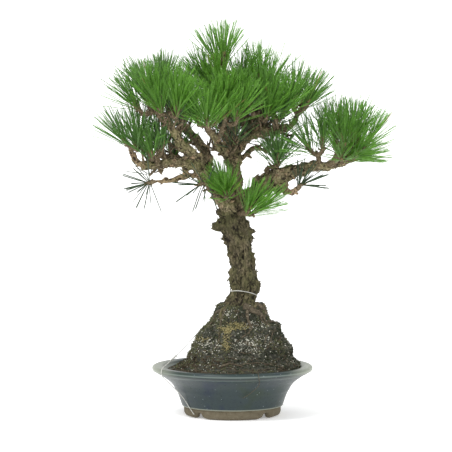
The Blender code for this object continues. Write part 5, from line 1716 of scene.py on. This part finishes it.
def glaze_finish(groups):
    """Running blue-green glaze: deep blue in pools, grey-green where thin, painted highlight and painted shadow in
    bands round the lip, a painted reflection that pales the lip towards its left and right ends, a pale glaze edge
    at the foot, tiny pale specks.
    """
    material, tree, shader = new_material("blue_green_glaze")
    place = add_node(tree, "ShaderNodeSeparateXYZ", {0: object_place(tree)})
    pools = place_group(tree, groups["mottle"], {"Scale": 22.0, "Contrast": 0.45, "Stretch": 0.7,
                                                 "Dark": GLAZE_BLUE,
                                                 "Middle": GLAZE_SLATE, "Light": GLAZE_GREEN})
    fine = place_group(tree, groups["mottle"], {"Scale": 260.0, "Contrast": 0.5, "Dark": (0.62, 0.62, 0.66),
                                                "Middle": (1.0, 1.0, 1.0), "Light": (1.30, 1.32, 1.28)})
    colour = mix_colour(tree, 0.55, pools.outputs["Colour"], fine.outputs["Colour"], "MULTIPLY")
    aside = calculate(tree, "ABSOLUTE", calculate(tree, "SUBTRACT", place.outputs["X"], float(POT_AXIS[0])))
    side = map_range(tree, aside, 0.055, 0.145)
    colour = mix_colour(tree, calculate(tree, "MULTIPLY", side, 0.65), colour, GLAZE_GREEN)
    lip = map_range(tree, place.outputs["Z"], 0.0800, 0.0850)
    colour = mix_colour(tree, calculate(tree, "MULTIPLY", lip, 0.45), colour, GLAZE_LIP)
    # Painted highlight lines on the lip and the bead, and a painted shadow line in the groove under the lip.
    for low, high, share, tint in PAINTED_LIP_LIGHT_BANDS:
        band = calculate(tree, "MULTIPLY", map_range(tree, place.outputs["Z"], low - BAND_SOFTNESS, low),
                         map_range(tree, place.outputs["Z"], high + BAND_SOFTNESS, high))
        colour = mix_colour(tree, calculate(tree, "MULTIPLY", band, share), colour, tint)
    # Painted reflection: the lip grows pale towards its left and right ends.
    edge = calculate(tree, "MULTIPLY", lip, map_range(tree, aside, 0.095, 0.150))
    colour = mix_colour(tree, calculate(tree, "MULTIPLY", edge, 0.85), colour, PALE_FOOT_EDGE_AND_RIM_REFLECTION)
    foot_line = calculate(tree, "SUBTRACT", 1.0, map_range(tree, place.outputs["Z"], 0.0192, 0.0212))
    colour = mix_colour(tree, calculate(tree, "MULTIPLY", foot_line, 0.8), colour, PALE_FOOT_EDGE_AND_RIM_REFLECTION)
    specks = place_group(tree, groups["speckle"], {"Scale": 260.0, "Size": 0.22, "Share": 0.10})
    colour = mix_colour(tree, calculate(tree, "MULTIPLY", specks.outputs["Mask"], 0.55), colour, GLAZE_SPECK)
    tree.links.new(colour, shader.inputs["Base Color"])
    shader.inputs["Specular IOR Level"].default_value = 0.28
    rough = map_range(tree, fine.outputs["Value"], 0.0, 1.0, 0.26, 0.42)
    tree.links.new(rough, shader.inputs["Roughness"])
    grain = place_group(tree, groups["grain"], {"Scale": 90.0, "Sharpness": 0.15})
    bump(tree, shader, grain.outputs["Height"], 0.25, 0.0006)
    return material


def wire_finish(groups):
    material, tree, shader = new_material("dull_wire")
    cloud = place_group(tree, groups["mottle"], {"Scale": 300.0, "Contrast": 0.5, "Dark": (0.30, 0.30, 0.27),
                                                 "Middle": (0.50, 0.50, 0.46), "Light": (0.68, 0.68, 0.64)})
    tree.links.new(cloud.outputs["Colour"], shader.inputs["Base Color"])
    shader.inputs["Metallic"].default_value = 0.4
    shader.inputs["Roughness"].default_value = 0.42
    return material


def make_finishes():
    groups = {"mottle": make_mottle_group(), "speckle": make_speckle_group(), "grain": make_grain_group()}
    finishes = {"bark": bark_finish(groups), "glaze": glaze_finish(groups), "wire": wire_finish(groups)}
    for name, colour in GREENS.items():
        finishes["needles_" + name] = needle_finish(groups, name, colour)
    for name, values in DRY_FINISHES.items():
        finishes[name] = mottled_finish(groups, name, *values)
    return finishes


# Stage

def make_stage():
    """A wide pale floor, an even pale sky, two soft suns and the camera."""
    bpy.ops.mesh.primitive_plane_add(size=FLOOR_SIZE, location=(0, 0, 0))
    floor = bpy.context.object
    floor.name = "floor"
    pale = plain("pale_floor", FLOOR_COLOUR, 0.9)
    glow = pale.node_tree.nodes["Principled BSDF"].inputs
    glow["Emission Color"].default_value = (1.0, 1.0, 1.0, 1.0)
    glow["Emission Strength"].default_value = FLOOR_GLOW
    floor.data.materials.append(pale)
    world = bpy.data.worlds.new("studio")
    bpy.context.scene.world = world
    world.use_nodes = True
    world.node_tree.nodes["Background"].inputs["Color"].default_value = (1.0, 1.0, 1.0, 1.0)
    world.node_tree.nodes["Background"].inputs["Strength"].default_value = SKY_STRENGTH
    for name, direction, softness, energy in SUNS:
        data = bpy.data.lights.new(name, "SUN")
        data.angle = softness
        data.energy = energy
        light = bpy.data.objects.new(name, data)
        light.rotation_euler = (-Vector(direction)).to_track_quat("-Z", "Y").to_euler()
        bpy.context.scene.collection.objects.link(light)
    camera = bpy.data.cameras.new("camera")
    camera.lens = CAMERA_LENS
    camera.clip_end = 2.0 * FLOOR_SIZE
    viewer = bpy.data.objects.new("camera", camera)
    aim = Vector(POT_AXIS) + Vector(CAMERA_AIM)
    viewer.location = aim + Vector((0, -math.cos(CAMERA_PITCH), math.sin(CAMERA_PITCH))) * CAMERA_DISTANCE
    viewer.rotation_euler = (math.pi / 2 - CAMERA_PITCH, 0, 0)
    bpy.context.scene.collection.objects.link(viewer)
    bpy.context.scene.camera = viewer
    bpy.context.scene.view_settings.view_transform = "Standard"


# The whole scene

def main():
    make_stage()
    lines = {"trunk": trunk_line()}
    for name, way, start_radius, tip_radius in LIMBS:
        lines[name] = limb_line(name, way, start_radius, tip_radius)
    finishes = make_finishes()
    skin = make_tree_mesh(lines)
    piece("trunk_and_boughs", skin, [finishes["bark"]], ["trunk"] + [name for name, _, _, _ in LIMBS])
    neighbours = Neighbours()
    for name, (path, radii) in lines.items():
        neighbours.add(path, radii * (1 + LUMP), name)
    for start, end, first, last in STUBS:
        neighbours.add([start, end], [first, last], "stub")
    samples = []
    for path, radii in lines.values():
        fine = smooth_line(np.column_stack([path, radii]), max(8, round(line_length(path) / 0.002)))
        samples.append(fine)
    samples = np.vstack(samples)
    tree = search_tree(samples[:, :3])
    piece("bark_flakes", make_flakes(skin, samples, tree), [finishes["bark"]], smooth=False)
    grown = {}
    for name, limb, share, centre, aim, shoots, spread, _ in MASSES:
        grown[name] = grow_twigs(lines, neighbours, name, limb, share, centre, aim, shoots, spread)
    pot = make_pot(finishes["glaze"], finishes["clay"])
    ball = make_soil(finishes["soil"])
    path = wire_line([pot, ball, bpy.data.objects["trunk_and_boughs"]])
    wire = Pile()
    wire.add(*tube(path, np.full((len(path), 8), WIRE_RADIUS)))
    twist = wire_twist(path)
    wire.add(*tube(twist, np.full((len(twist), 6), WIRE_RADIUS * 0.8)))
    piece("tie_wire_drawn", wire.mesh("wire"), [finishes["wire"]], ["tie_wire"])
    dress_root_ball(ball, finishes)
    make_rootlet(pot, ball, finishes)
    make_foliage(grown, inner_twigs(lines, neighbours), tree, samples[:, 3], finishes)


main()
